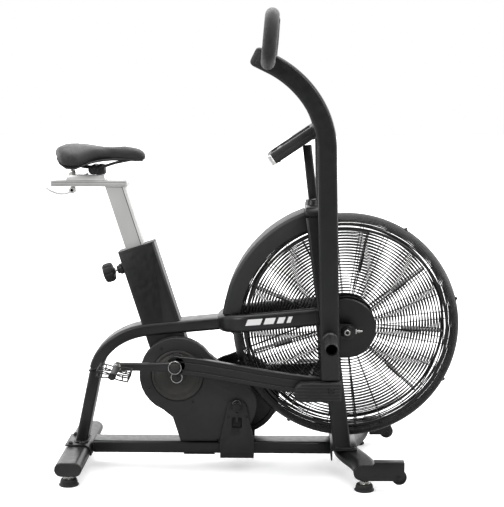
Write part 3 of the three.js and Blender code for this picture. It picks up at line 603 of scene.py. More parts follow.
def disc(radius: float, steps: int = 20) -> Section:
    """Outline of a circle."""
    return [(radius * math.cos(2 * math.pi * step / steps),
             radius * math.sin(2 * math.pi * step / steps)) for step in range(steps)]


def round_bar(name: str, radius: float, start: Vector, end: Vector, edge: float = 0.0006,
              steps: int = 32) -> bpy.types.Object:
    """A round bar between two points with its end edges broken.

    Args:
        name: Name of the piece.
        radius: Radius of the bar.
        start: Centre of one end.
        end: Centre of the other end.
        edge: Width of the broken edge.
        steps: Steps round the bar.

    Returns:
        The bar.
    """
    axis = (end - start).normalized()
    length = (end - start).length
    profile = [(0.0, 0.0), (radius - edge, 0.0), (radius, edge), (radius, length - edge),
               (radius - edge, length), (0.0, length)]
    return smooth(turned(name, profile, start, axis, steps))


def bolt(name: str, head: Head, seat: Vector, outward: Vector, across: float,
         height: float, washer: float = 0.0) -> bpy.types.Object:
    """A bolt head with its recess, and a washer under it where one is asked for.

    Args:
        name: Name of the piece.
        head: Kind of head.
        seat: Point that the head stands on.
        outward: Direction that the head faces.
        across: Width over the head.
        height: Height of the head.
        washer: Radius of the washer, or 0 for none.

    Returns:
        The bolt head.
    """
    place = aimed(seat, outward)
    lift = 0.0012 if washer else 0.0
    corners = 6 if head is Head.HEX else 28
    radius = across / 2 / (math.cos(math.pi / 6) if head is Head.HEX else 1.0)
    clear_selection()
    bpy.ops.mesh.primitive_cylinder_add(vertices=corners, radius=radius, depth=height,
                                        location=(0.0, 0.0, lift + height / 2))
    piece = named(name)
    if head is not Head.HEX:
        recess = hex_recess(across * 0.3, lift + height, height * 0.6)
        carved(piece, recess)
    rounded(piece, min(height * (0.45 if head is Head.BUTTON else 0.14), 0.0025), 3, 50.0)
    parts = [piece]
    if washer:
        ring = turned("washer", [(radius * 0.5, 0.0), (washer - 0.0004, 0.0), (washer, 0.0004),
                                 (washer, lift - 0.0003), (washer - 0.0004, lift),
                                 (radius * 0.5, lift)], Vector(), Z_AXIS, 32)
        parts.append(ring)
    done = merged(name, parts)
    done.data.transform(place)
    return smooth(done)


def hex_recess(radius: float, top: float, depth: float) -> bpy.types.Object:
    """The six-sided plug that cuts a bolt's key recess."""
    clear_selection()
    bpy.ops.mesh.primitive_cylinder_add(vertices=6, radius=radius, depth=depth * 2,
                                        location=(0.0, 0.0, top))
    return named("recess")


def softened(node: str, name: str, edge: float = 0.0012, segments: int = 2,
             angle: float = 34.0) -> bpy.types.Object:
    """Copies a frame node, merges its loose triangles and rounds its edges.

    Args:
        node: Frame node that is copied.
        name: Name of the copy.
        edge: Width of the rounding, or 0 for none.
        segments: Steps over the rounding.
        angle: Edges sharper than this many degrees are rounded.

    Returns:
        The copy, without a parent.
    """
    piece = bpy.data.objects.new(name, NODES[node].data.copy())
    piece.data.name = name
    bpy.context.scene.collection.objects.link(piece)
    take(piece)
    bpy.ops.mesh.customdata_custom_splitnormals_clear()
    bpy.ops.object.mode_set(mode="EDIT")
    bpy.ops.mesh.select_all(action="SELECT")
    bpy.ops.mesh.remove_doubles(threshold=2e-5)
    bpy.ops.mesh.dissolve_limited(angle_limit=math.radians(0.6))
    bpy.ops.object.mode_set(mode="OBJECT")
    if edge:
        rounded(piece, edge, segments, angle)
    return smooth(piece)


NODES: dict[str, bpy.types.Object] = {}
HOMES: dict[str, tuple[str, str]] = {}


def fit(piece: bpy.types.Object, finish: Finish, body: str,
        nodes: Iterable[str] = ()) -> bpy.types.Object:
    """Dresses a piece and lets it move with its body.

    Args:
        piece: Finished mesh object.
        finish: Surface that it gets.
        body: Body that it rides on.
        nodes: Frame nodes that it stands for.

    Returns:
        The same piece.
    """
    piece.data.materials.clear()
    piece.data.materials.append(finish.material())
    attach(piece, body)
    if nodes:
        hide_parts(*nodes)
    LOG.info("%s rides on %s", piece.name, body)
    return piece


def fit_like(piece: bpy.types.Object, node: str, finish: Finish | None = None) -> bpy.types.Object:
    """Fits a piece in place of a frame node, on the node's own body and slot."""
    body, slot = HOMES[node]
    return fit(piece, finish or SLOT_FINISH[slot], body, (node,))


def soften_and_fit(node: str, edge: float = 0.0012, finish: Finish | None = None,
                   segments: int = 2) -> bpy.types.Object:
    """Replaces a frame node by its own copy with rounded edges."""
    return fit_like(softened(node, f"{node}_body", edge, segments), node, finish)


# ------------------------------------------------------------------ studio
@dataclass
class Studio:
    """Camera, lights, pale floor and white surroundings."""

    eye: tuple[float, float, float] = (0.0948, -3.8795, 1.2066)
    down: float = 0.1405
    towards_rear: float = 0.0249
    lens: float = 92.31

    def build(self) -> None:
        """Makes the whole studio."""
        self.camera()
        self.floor()
        self.surroundings()
        self.softbox("top_light", (0.1, 0.1, 3.2), (0.0, 0.0, 0.6), (3.4, 2.4), 95.0)
        self.softbox("front_light", (-3.0, -3.4, 2.8), (0.0, 0.0, 0.7), (1.6, 2.4), 105.0)
        self.softbox("side_light", (2.6, -3.3, 3.0), (0.1, 0.0, 0.6), (1.6, 1.8), 75.0)
        self.softbox("ahead_light", (3.3, 0.9, 1.6), (0.2, 0.0, 0.7), (1.4, 2.8), 48.0)
        self.softbox("behind_light", (-3.3, 1.0, 1.7), (0.0, 0.0, 0.7), (1.4, 2.8), 48.0)

    def camera(self) -> None:
        """Adds the camera and makes it the scene's own."""
        clear_selection()
        bpy.ops.object.camera_add(location=self.eye,
                                  rotation=(math.pi / 2 - self.down, 0.0, self.towards_rear))
        camera = bpy.context.active_object
        camera.name = "product_camera"
        camera.data.lens = self.lens
        camera.data.sensor_width = 36.0
        camera.data.clip_end = 60.0
        bpy.context.scene.camera = camera

    def floor(self) -> None:
        """Adds the pale floor, a plane with a slow mottle. To the camera it glows as painted light,
        more strongly further from its centre under the bike; to all other rays it shows a darker
        grey without glow, painted shade in the bike's reflections and bounce light.
        """
        clear_selection()
        bpy.ops.mesh.primitive_plane_add(size=40.0)
        floor = named("studio_floor")
        paint = bpy.data.materials.new("floor_white")
        paint.use_nodes = True
        tree = paint.node_tree
        shader = tree.nodes["Principled BSDF"]
        shader.inputs["Roughness"].default_value = 0.75
        shader.inputs["Specular IOR Level"].default_value = 0.2
        shader.inputs["Emission Color"].default_value = (1.0, 1.0, 1.0, 1.0)
        place = tree.nodes.new("ShaderNodeTexCoord")
        reach = tree.nodes.new("ShaderNodeVectorMath")
        reach.operation = "LENGTH"
        fade = tree.nodes.new("ShaderNodeMapRange")
        fade.inputs["From Min"].default_value = 0.7
        fade.inputs["From Max"].default_value = 3.2
        fade.inputs["To Min"].default_value = 0.34
        fade.inputs["To Max"].default_value = 1.05
        tree.links.new(place.outputs["Object"], reach.inputs[0])
        tree.links.new(reach.outputs["Value"], fade.inputs["Value"])
        # Painted light: the floor glows for camera rays only.
        rays = tree.nodes.new("ShaderNodeLightPath")
        seen = tree.nodes.new("ShaderNodeMath")
        seen.operation = "MULTIPLY"
        tree.links.new(fade.outputs["Result"], seen.inputs[0])
        tree.links.new(rays.outputs["Is Camera Ray"], seen.inputs[1])
        tree.links.new(seen.outputs["Value"], shader.inputs["Emission Strength"])
        cloud = tree.nodes.new("ShaderNodeTexNoise")
        cloud.inputs["Scale"].default_value = 0.8
        tint = tree.nodes.new("ShaderNodeValToRGB")
        tint.color_ramp.elements[0].color = (0.84, 0.84, 0.84, 1.0)
        tint.color_ramp.elements[1].color = (0.88, 0.88, 0.88, 1.0)
        tree.links.new(cloud.outputs["Fac"], tint.inputs["Fac"])
        # Painted shade: rays other than the camera's see the floor a darker grey.
        mute = tree.nodes.new("ShaderNodeMix")
        mute.data_type = "RGBA"
        mute.inputs[6].default_value = (0.34, 0.34, 0.34, 1.0)
        tree.links.new(rays.outputs["Is Camera Ray"], mute.inputs[0])
        tree.links.new(tint.outputs["Color"], mute.inputs[7])
        tree.links.new(mute.outputs[2], shader.inputs["Base Color"])
        floor.data.materials.append(paint)

    def surroundings(self) -> None:
        """Sets white surroundings that light the bike more gently than they look."""
        scene = bpy.context.scene
        scene.view_settings.view_transform = "Standard"
        world = bpy.data.worlds.new("studio_world")
        scene.world = world
        world.use_nodes = True
        tree = world.node_tree
        back = tree.nodes["Background"]
        back.inputs["Color"].default_value = (1.0, 1.0, 1.0, 1.0)
        rays = tree.nodes.new("ShaderNodeLightPath")
        heading = tree.nodes.new("ShaderNodeTexCoord")
        split = tree.nodes.new("ShaderNodeSeparateXYZ")
        level = tree.nodes.new("ShaderNodeMapRange")
        level.interpolation_type = "SMOOTHSTEP"
        level.inputs["From Min"].default_value = -0.60
        level.inputs["From Max"].default_value = 0.60
        level.inputs["To Min"].default_value = 0.06
        level.inputs["To Max"].default_value = 2.1
        pick = tree.nodes.new("ShaderNodeMix")
        pick.inputs["B"].default_value = 1.0
        tree.links.new(heading.outputs["Generated"], split.inputs["Vector"])
        tree.links.new(split.outputs["Y"], level.inputs["Value"])
        tree.links.new(rays.outputs["Is Camera Ray"], pick.inputs["Factor"])
        tree.links.new(level.outputs["Result"], pick.inputs["A"])
        tree.links.new(pick.outputs["Result"], back.inputs["Strength"])

    def softbox(self, name: str, place: tuple[float, float, float],
                target: tuple[float, float, float], size: tuple[float, float],
                power: float) -> None:
        """Adds one rectangular softbox.

        Args:
            name: Name of the light.
            place: Where it hangs.
            target: Point that it faces.
            size: Its width and height.
            power: Its power in watts.
        """
        clear_selection()
        aim = (Vector(target) - Vector(place)).to_track_quat("-Z", "Y").to_euler()
        bpy.ops.object.light_add(type="AREA", location=place, rotation=aim)
        light = bpy.context.active_object
        light.name = name
        light.data.shape = "RECTANGLE"
        light.data.size, light.data.size_y = size
        light.data.energy = power


def learn_frame(frame: dict) -> None:
    """Notes each frame node's object, body and material slot.
    """
    record = frame["record"]
    NODES.update(frame["nodes"])
    slots = {part["node"]: part["material_slot"] for part in record["subparts"]}
    for body, nodes in record["behaviour"]["bodies"].items():
        for node in nodes:
            HOMES[node] = (body, slots[node])


def dress_what_is_left() -> None:
    """Gives every frame node that still shows the finish of its slot."""
    for node, thing in NODES.items():
        if not thing.hide_render:
            material = SLOT_FINISH[HOMES[node][1]].material()
            thing.data.materials.clear()
            thing.data.materials.append(material)


# ------------------------------------------------------------------ base
@dataclass
class Base:
    """Rail, stabilizers, clamps, feet and transport wheels."""

    cap_size: tuple[float, float] = (0.0785, 0.0405)
    tyre_radius: float = 0.022

    def build(self) -> None:
        """Makes every piece of the base."""
        soften_and_fit("base_rail", 0.0012)
        soften_and_fit("rear_stabilizer", 0.0)
        soften_and_fit("rear_clamp", 0.0014)
        soften_and_fit("front_clamp", 0.0018)
        soften_and_fit("rear_leg", 0.0014)
        self.front_bar()
        for side in Side:
            self.end_cap(side)
            self.rear_foot(side)
            self.front_foot(side)
            self.front_end(side)
            self.clamp_bolts(side)
        self.rail_details()

    def front_bar(self) -> None:
        """Draws the bowed front stabilizer with a finer curve than the frame's."""
        low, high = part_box("front_stabilizer")
        half, rise = high.y, 0.050
        path = []
        for step in range(41):
            across = (step / 20 - 1) * half
            share = min(abs(across) / half * 1.15, 1.0)
            ahead = low.x + 0.036 + rise * (1 - math.cos(share * math.pi)) / 2
            path.append(Vector((ahead, across, (low.z + high.z) / 2)))
        bar = swept("front_stabilizer_body", oblong(0.072, 0.044, 0.0205, 7), path, X_AXIS)
        fit_like(smooth(rounded(bar, 0.001, 2, 60.0)), "front_stabilizer")

    def end_cap(self, side: Side) -> None:
        """Closes one end of the rear stabilizer with a flat plastic cap."""
        low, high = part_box("rear_stabilizer")
        spot = (low + high) / 2
        end = high.y * side.value
        section = oblong(*self.cap_size, 0.0202, 8)
        places = []
        for step, size in ((-0.012, 0.9), (0.0, 0.9), (0.0, 1.0), (0.0022, 1.0), (0.0034, 0.965),
                           (0.0036, 0.93), (0.0030, 0.90)):
            at_end = Vector((spot.x, end + step * side.value, spot.z))
            turn = Matrix((X_AXIS, Z_AXIS, X_AXIS.cross(Z_AXIS))).transposed().to_4x4()
            places.append(Matrix.Translation(at_end) @ turn @ Matrix.Diagonal((size, size, 1, 1)))
        cap = drawn(f"end_cap_{side.word}", section, places)
        fit(smooth(cap), COVER_GRAIN, "frame")

    def foot(self, stem: str, node: str) -> None:
        """A levelling foot: ribbed rubber pad, threaded stud and zinc nuts.

        Args:
            stem: Start of the pieces' names.
            node: Frame node that the pad stands for.
        """
        spot = middle(node)
        low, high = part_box(node)
        ground = Vector((spot.x, spot.y, low.z))
        pad = [(0.0, 0.0), (0.0275, 0.0), (0.029, 0.0012), (0.029, 0.0036), (0.0275, 0.0048),
               (0.0262, 0.0052), (0.0250, 0.0100), (0.0256, 0.0108), (0.0246, 0.0150),
               (0.0232, 0.0186), (0.0215, 0.0202), (0.0, 0.0202)]
        fit_like(smooth(turned(f"{stem}_pad", pad, ground, Z_AXIS, 48), 50.0), node)
        nut = bolt(f"{stem}_nut", Head.HEX, ground + Z_AXIS * 0.0202, Z_AXIS, 0.024, 0.0062, 0.0165)
        fit(nut, ZINC, "frame")
        thread: Section = [(0.0, 0.0)]
        turns = int((high.z - 0.0274) / 0.0012)
        for ridge in range(max(turns, 1)):
            thread += [(0.0050, ridge * 0.0012), (0.0044, ridge * 0.0012 + 0.0006)]
        thread.append((0.0, max(turns, 1) * 0.0012))
        stud = turned(f"{stem}_stud", thread, ground + Z_AXIS * 0.0274, Z_AXIS, 24)
        fit(smooth(stud), ZINC, "frame")

    def rear_foot(self, side: Side) -> None:
        """Makes one rear foot."""
        self.foot(f"rear_foot_{side.word}", f"foot_rear_{side.word}")

    def front_foot(self, side: Side) -> None:
        """Makes one front foot."""
        self.foot(f"front_foot_{side.word}", f"foot_front_{side.word}")

    def front_end(self, side: Side) -> None:
        """Bracket, tyre, hub and axle bolt at one end of the front stabilizer."""
        soften_and_fit(f"wheel_bracket_{side.word}", 0.0008)
        node = f"transport_wheel_{side.word}"
        hub = middle(node)
        low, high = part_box(node)
        outer = low.y if side is Side.RIGHT else high.y
        hub.y = outer - side.value * 0.018
        r = self.tyre_radius
        tread = [(0.0125, -0.0085), (r - 0.003, -0.0085), (r - 0.0008, -0.0065),
                 (r, -0.0030), (r - 0.0008, -0.0022), (r - 0.0008, 0.0022), (r, 0.0030),
                 (r - 0.0008, 0.0065), (r - 0.003, 0.0085), (0.0125, 0.0085)]
        tyre = smooth(turned(f"wheel_tyre_{side.word}", tread, hub, Y_AXIS, 48), 50.0)
        fit(tyre, BLACK_RUBBER, f"wheel_{side.word}", (node,))
        core = [(0.0056, -0.0098), (0.0090, -0.0098), (0.0096, -0.0070), (0.0122, -0.0062),
                (0.0122, 0.0062), (0.0096, 0.0070), (0.0090, 0.0098), (0.0056, 0.0098)]
        wheel_core = smooth(turned(f"wheel_core_{side.word}", core, hub, Y_AXIS, 40), 50.0)
        fit(wheel_core, COVER_GRAIN, f"wheel_{side.word}")
        out = Y_AXIS * side.value
        head = bolt(f"wheel_bolt_{side.word}", Head.HEX, hub + out * 0.0152, out, 0.0105, 0.0046,
                    0.0072)
        fit(head, BLACK_STEEL, "frame")
        shank = round_bar(f"wheel_axle_{side.word}", 0.0050, hub - out * 0.020, hub + out * 0.0154)
        fit(shank, BLACK_STEEL, "frame")

    def clamp_bolts(self, side: Side) -> None:
        """Bolts through the rear and front clamp plates on one side."""
        low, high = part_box("rear_clamp")
        for count, ahead in enumerate((low.x + 0.016, middle("rear_clamp").x + 0.010)):
            seat = Vector((ahead, (high.y - 0.011) * side.value, high.z))
            piece = bolt(f"rear_clamp_bolt_{side.word}_{count + 1}", Head.BUTTON, seat, Z_AXIS,
                         0.0150, 0.0048, 0.0092)
            fit(piece, BLACK_STEEL, "frame")
        low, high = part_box("front_clamp")
        for count, reach in enumerate((0.014, 0.055)):
            seat = Vector((high.x - 0.013, (high.y - reach) * side.value, high.z))
            if count:
                seat = Vector((low.x + 0.017, (high.y - 0.012) * side.value, high.z))
            piece = bolt(f"front_clamp_bolt_{side.word}_{count + 1}", Head.BUTTON, seat, Z_AXIS,
                         0.0150, 0.0048, 0.0092)
            fit(piece, BLACK_STEEL, "frame")
        leg_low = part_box("rear_leg")[0]
        foot_z = leg_low.z
        bead = [Vector((leg_low.x - 0.001, 0.0, foot_z + 0.002)),
                Vector((leg_low.x - 0.001, 0.030 * side.value, foot_z + 0.002)),
                Vector((leg_low.x + 0.004, 0.0378 * side.value, foot_z + 0.002)),
                Vector((leg_low.x + 0.032, 0.0378 * side.value, foot_z + 0.002)),
                Vector((leg_low.x + 0.038, 0.030 * side.value, foot_z + 0.002)),
                Vector((leg_low.x + 0.038, 0.0, foot_z + 0.002))]
        weld(f"leg_weld_{side.word}", bead, 0.0030)

    def rail_details(self) -> None:
        """Adds the rail's end plugs and the plate under the seat tube."""
        low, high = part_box("base_rail")
        sole = block("rail_plate", Vector((low.x + 0.275, -0.034, low.z - 0.0040)),
                     Vector((low.x + 0.370, 0.034, low.z)), 0.0010)
        fit(sole, POWDER_COAT, "frame")
        spot = (low + high) / 2
        for word, end, step in (("rear", low.x, -1.0), ("front", high.x, 1.0)):
            places = []
            for out, size in ((-0.010, 0.90), (0.0002, 0.90), (0.0002, 0.985), (0.0018, 0.975),
                              (0.0024, 0.94)):
                place = Matrix.Translation(Vector((end + out * step, 0.0, spot.z)))
                places.append(place @ CROSSWISE @ Matrix.Diagonal((size, size, 1, 1)))
            plug = drawn(f"rail_plug_{word}", oblong(0.076, 0.038, 0.0068, 6), places)
            fit(smooth(plug), COVER_GRAIN, "frame")


def weld(name: str, path: Sequence[Vector], radius: float, closed: bool = False) -> None:
    """Lays a painted weld bead along a path.

    Args:
        name: Name of the bead.
        path: Corner points of the seam.
        radius: Radius of the bead.
        closed: Whether the seam comes back to its start.
    """
    fine: list[Vector] = []
    legs = list(zip(path, list(path[1:]) + [path[0]])) if closed else list(zip(path, path[1:]))
    for start, end in legs:
        steps = max(int((end - start).length / 0.004), 1)
        fine += [start.lerp(end, step / steps) for step in range(steps)]
    if not closed:
        fine.append(path[-1])
    places = []
    for index, place in enumerate(stations(fine, None, closed)):
        size = 1.0 + 0.16 * (1 if index % 2 else -1)
        places.append(place @ Matrix.Diagonal((size, size, 1.0, 1.0)))
    fit(smooth(drawn(name, disc(radius, 8), places, closed), 60.0), POWDER_COAT, "frame")


def bezier(knots: Sequence[Vector], steps: int) -> list[Vector]:
    """Points along one cubic curve given by its four control points."""
    first, lead, follow, last = knots
    return [Vector(point) for point in geometry.interpolate_bezier(first, lead, follow, last,
                                                                   steps)]


# ------------------------------------------------------------------ upper frame
@dataclass
class UpperFrame:
    """Arch, U bar, seat tube, mast, bridge, stand and console stem."""

    arch_section: tuple[float, float, float] = (0.084, 0.038, 0.010)
    bar_section: tuple[float, float, float] = (0.054, 0.030, 0.0148)

    def build(self) -> None:
        """Makes every piece of the upper frame."""
        self.arch()
        self.u_bar()
        soften_and_fit("seat_tube", 0.0008)
        soften_and_fit("seat_tube_insert", 0.0007)
        for side in Side:
            self.mast(side)
        soften_and_fit("mast_bridge", 0.0010)
        soften_and_fit("console_stem", 0.0012)
        self.stand()
        self.stripe()

    def arch(self) -> None:
        """Draws the arch tube from the rear leg to the U bar."""
        path = bezier((at(-756.7, 0, 309.4), at(-744.3, 0, 368), at(-682, 0, 418),
                       at(-602, 0, 428)), 26)
        path += [at(-602, 0, 428).lerp(at(-374, 0, 450.5), step / 6) for step in range(1, 7)]
        tube = swept("arch_tube_body", oblong(*self.arch_section, 6), path, Y_AXIS)
        up = SEAT_UP
        turn = Matrix((-SEAT_REAR, Y_AXIS, up)).transposed().to_4x4()
        mouth = at(*SEAT_MOUTH)
        bore = drawn("seat_tube_room", oblong(0.1144, 0.0724, 0.009, 5),
                     [Matrix.Translation(mouth - up * 0.33) @ turn,
                      Matrix.Translation(mouth - up * 0.15) @ turn])
        fit_like(smooth(carved(tube, bore), 40.0), "arch_tube")
        rear = [at(-776, across, 303) for across in (41, -41)]
        front = [at(-740, across, 315) for across in (-41, 41)]
        weld("arch_weld", [front[0], front[1], rear[0], rear[1]], 0.0019, True)

    def u_bar(self) -> None:
        """Draws the flat U bar round the rear of the fan, open at the mast."""
        rear, ahead, half, bend = -372.0, -84.0, 92.0, 78.0
        start = rear + bend
        flat: list[tuple[float, float]] = [(ahead - step * (ahead - start) / 6, -half)
                                           for step in range(6)]
        corner = bezier((Vector((start, -half, 0)), Vector((start - 0.56 * bend, -half, 0)),
                         Vector((rear, -half + 0.44 * bend, 0)), Vector((rear, -half + bend, 0))),
                        18)
        flat += [(point.x, point.y) for point in corner]
        flat += [(x, -y) for x, y in reversed(flat)]
        path = [at(x, y, 454.5 + (x - rear) * 0.1) for x, y in flat]
        bar = swept("u_bar_body", oblong(*self.bar_section, 7), path, Z_AXIS)
        fit_like(smooth(bar), "u_bar")
        for side in Side:
            weld(f"u_bar_weld_{side.word}",
                 [at(-91.0 + up * -0.125, (half + 15.0) * side.value, 482.5 + up) for up in
                  (-24, -10, 10, 24)], 0.0017)

    def mast(self, side: Side) -> None:
        """One mast leg with its weld beads and the tensioner of the fan axle."""
        soften_and_fit(f"mast_{side.word}", 0.0010)
        face = 106.6 * side.value
        weld(f"mast_foot_weld_{side.word}",
             [at(-36, face, 84.5), at(-10, face, 84.5), at(17, face, 84.5)], 0.0028)
        weld(f"axle_plate_weld_{side.word}",
             [at(-26, face, 418), at(-26, face, 441), at(-26, face, 464)], 0.0015)
        plate_y = 102 * side.value
        block_piece = block(f"axle_adjuster_{side.word}", at(24.5, plate_y - 5, 434),
                            at(29.5, plate_y + 5, 448), 0.0012)
        fit(block_piece, ZINC, "frame")
        screw = round_bar(f"axle_adjuster_screw_{side.word}", 0.0028,
                          at(24, plate_y, 441), at(46, plate_y, 441))
        fit(screw, ZINC, "frame")
        tip = bolt(f"axle_adjuster_nut_{side.word}", Head.HEX, at(33, plate_y, 441),
                   X_AXIS, 0.0095, 0.0042)
        fit(tip, ZINC, "frame")

    def stand(self) -> None:
        """The jackshaft stand with its bolts and adjuster, and a near-black block of painted shade
        in its window.
        """
        soften_and_fit("jackshaft_stand", 0.0009)
        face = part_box("jackshaft_stand")[0].y
        shaft = middle("jackshaft")
        spots = {"left": (-26, -38), "right": (31, -37), "low": (3, -87)}
        for word, (ahead, up) in spots.items():
            seat = Vector((shaft.x + ahead * MM, face, shaft.z + up * MM))
            piece = bolt(f"stand_bolt_{word}", Head.BUTTON, seat, -Y_AXIS, 0.0086, 0.0026)
            fit(piece, BLACK_STEEL, "frame")
        seat = Vector((shaft.x, face - 0.0002, shaft.z - 0.037))
        bar = block("stand_adjuster", seat + Vector((-0.004, -0.004, -0.016)),
                    seat + Vector((0.004, 0.0, 0.014)), 0.0008)
        fit(bar, BLACK_STEEL, "frame")
        # Near-black block inside the stand's window: painted shade in the opening.
        inner = block("stand_window", seat + Vector((-0.013, 0.005, -0.032)),
                      seat + Vector((0.013, 0.009, -0.004)), 0.0006)
        fit(inner, PAINTED_SHADE_AND_DIGITS, "frame")
        rim = [(0.0122, 0.0), (0.0136, 0.0), (0.0138, 0.0006), (0.0134, 0.0012), (0.0124, 0.0012)]
        ring = turned("stand_ring", rim, Vector((shaft.x, face, shaft.z + 0.0004)), -Y_AXIS, 48)
        fit(smooth(ring), ZINC, "frame")
        nut = bolt("jackshaft_nut", Head.HEX, Vector((shaft.x, -0.0878, shaft.z)), -Y_AXIS,
                   0.0220, 0.0070, 0.0140)
        fit(nut, BLACK_STEEL, "frame")

    def stripe(self) -> None:
        """A plain slanted mark of four bars on each side of the U bar."""
        for side in Side:
            bars = []
            for count, length in enumerate((44, 30, 20, 12)):
                start = -300 + sum((44, 30, 20, 12)[:count]) + 9 * count
                corners = [(start, -9), (start + length, -9), (start + length + 7, 9),
                           (start + 7, 9)]
                outline = [at(x, 107.25 * side.value, 460 + (x + 372) * 0.079 + up)
                           for x, up in corners]
                bars.append(plate("bar", outline, Y_AXIS * 0.0004 * -side.value))
            mark = merged(f"side_stripe_{side.word}", bars)
            fit(smooth(mark), STRIPE_WHITE, "frame")


# ------------------------------------------------------------------ fan
@dataclass
class FanUnit:
    """Caged fan with its axle, cage halves, clips and shroud."""

    disc_radius: float = 0.0875
    band_radius: float = 0.300
    rim_radius: float = 0.341
    face: float = 0.058
    pitch: float = 0.0088
    wire: float = 0.0019
    blades: int = 9
    phase: float = 3.0

    def build(self) -> None:
        """Makes every piece of the fan unit."""
        for side in Side:
            self.cage(side)
        self.wheel()
        self.axle()
        self.clips()
        self.shroud()

    def shoulder(self) -> list[tuple[float, float]]:
        """The wire's line from the flat face to the rim, as radius and half width."""
        line = bezier((Vector((0.300, 0.0559, 0)), Vector((0.326, 0.054, 0)),
                       Vector((0.338, 0.026, 0)), Vector((0.338, 0.004, 0))), 14)
        return [(point.x, point.y) for point in line]

    def cage(self, side: Side) -> None:
        """One cage half: centre disc, round wires, spokes, band and rim."""
        hub = middle("fan_axle")
        out = side.value
        parts = []
        spots = [(0.0965 + count * self.pitch, 0.0560) for count in range(23)]
        line = self.shoulder()
        spots += [line[index] for index in range(2, 14)]
        for radius, reach in spots:
            clear_selection()
            bpy.ops.mesh.primitive_torus_add(
                major_segments=112, minor_segments=6, major_radius=radius,
                minor_radius=self.wire, location=(hub.x, out * reach, hub.z),
                rotation=(math.pi / 2, 0.0, 0.0))
            parts.append(named("ring"))
        for spoke in range(24):
            angle = (spoke + 0.4) * math.pi / 12
            ray = Vector((math.cos(angle), 0.0, math.sin(angle)))
            run = [(0.088, 0.0530), (0.200, 0.0532), (0.298, 0.0532)]
            run += [(radius - 0.0028, reach - 0.0012) for radius, reach in line[1:]]
            path = [hub + ray * radius + Y_AXIS * out * reach for radius, reach in run]
            parts.append(swept("spoke", disc(0.0013, 6), path, Y_AXIS))
        wires = smooth(merged(f"cage_wires_{side.word}", parts), 60.0)
        fit(wires, CAGE_WIRE, "frame", (f"cage_{side.word}",))
        face = self.face * out
        r = self.disc_radius
        profile = [(0.0205, face), (0.020, face - 0.003 * out), (r - 0.004, face - 0.003 * out),
                   (r, face - 0.0055 * out), (r + 0.0025, face - 0.0042 * out),
                   (r + 0.0010, face - 0.0012 * out), (r - 0.0015, face)]
        plate_piece = smooth(turned(f"cage_disc_{side.word}", profile, hub, Y_AXIS, 96), 20.0)
        fit(plate_piece, POWDER_COAT, "frame")
        b = self.band_radius
        band = [(b - 0.0035, face), (b - 0.0045, face - 0.001 * out),
                (b - 0.0045, face - 0.005 * out), (b + 0.0035, face - 0.005 * out),
                (b + 0.0045, face - 0.0015 * out), (b + 0.0032, face)]
        band_piece = smooth(turned(f"cage_band_{side.word}", band, hub, Y_AXIS, 144), 50.0)
        fit(band_piece, CAGE_WIRE, "frame")
        r = self.rim_radius
        rim = [(r - 0.006, 0.0002 * out), (r - 0.006, 0.0080 * out), (r - 0.0048, 0.0090 * out),
               (r - 0.0015, 0.0090 * out), (r, 0.0075 * out), (r, 0.0016 * out),
               (r - 0.0012, 0.0002 * out)]
        rim_piece = smooth(turned(f"cage_rim_{side.word}", rim, hub, Y_AXIS, 160), 50.0)
        fit(rim_piece, CAGE_WIRE, "frame")

    def shroud(self) -> None:
        """The fan shroud, its front end carried on between the mast legs."""
        cover = softened("shroud", "shroud_body", 0.0008)
        hub = middle("fan_axle")
        slants = [math.atan2(corner.co.z - hub.z, corner.co.x - hub.x)
                  for corner in cover.data.vertices]
        last = min(slants) + math.radians(1.5)
        onward = Matrix.Rotation(math.radians(2.2), 3, "Y")
        for corner, slant in zip(cover.data.vertices, slants):
            if slant < last:
                corner.co = hub + onward @ (corner.co - hub)
        fit_like(smooth(cover, 40.0), "shroud")

    def wheel(self) -> None:
        """The paddle wheel and its belt pulley."""
        hub = middle("fan_axle")
        profile = [(0.0085, -0.040), (0.033, -0.040), (0.040, -0.030), (0.040, 0.030),
                   (0.033, 0.040), (0.018, 0.041), (0.018, 0.0630), (0.034, 0.0632),
                   (0.034, 0.0646), (0.030, 0.0652), (0.030, 0.0740), (0.034, 0.0745),
                   (0.034, 0.0754), (0.0085, 0.0754)]
        parts = [turned("hub", profile, hub, Y_AXIS, 64)]
        for blade in range(self.blades):
            angle = math.radians(blade * 360 / self.blades + self.phase)
            turn = Matrix.Translation(hub) @ Matrix.Rotation(angle, 4, "Y")
            shapes = []
            for edge in (-0.0255, 0.0255):
                shapes.append(block("strut", Vector((0.037, edge - 0.0016, -0.0016)),
                                    Vector((0.292, edge + 0.0016, 0.0016)), 0.0006))
            shapes.append(block("clip", Vector((0.172, -0.030, -0.0040)),
                                Vector((0.224, 0.030, 0.0020)), 0.0014))
            shapes.append(block("tie", Vector((0.286, -0.0255, -0.0016)),
                                Vector((0.291, 0.0255, 0.0016)), 0.0006))
            shapes.append(block("paddle", Vector((0.200, -0.0130, -0.0018)),
                                Vector((0.294, 0.0130, -0.0006)), 0.0005))
            for shape in shapes:
                shape.data.transform(turn)
            parts += shapes
        wheel = smooth(merged("fan_paddles", parts), 40.0)
        fit_like(wheel, "fan_wheel")

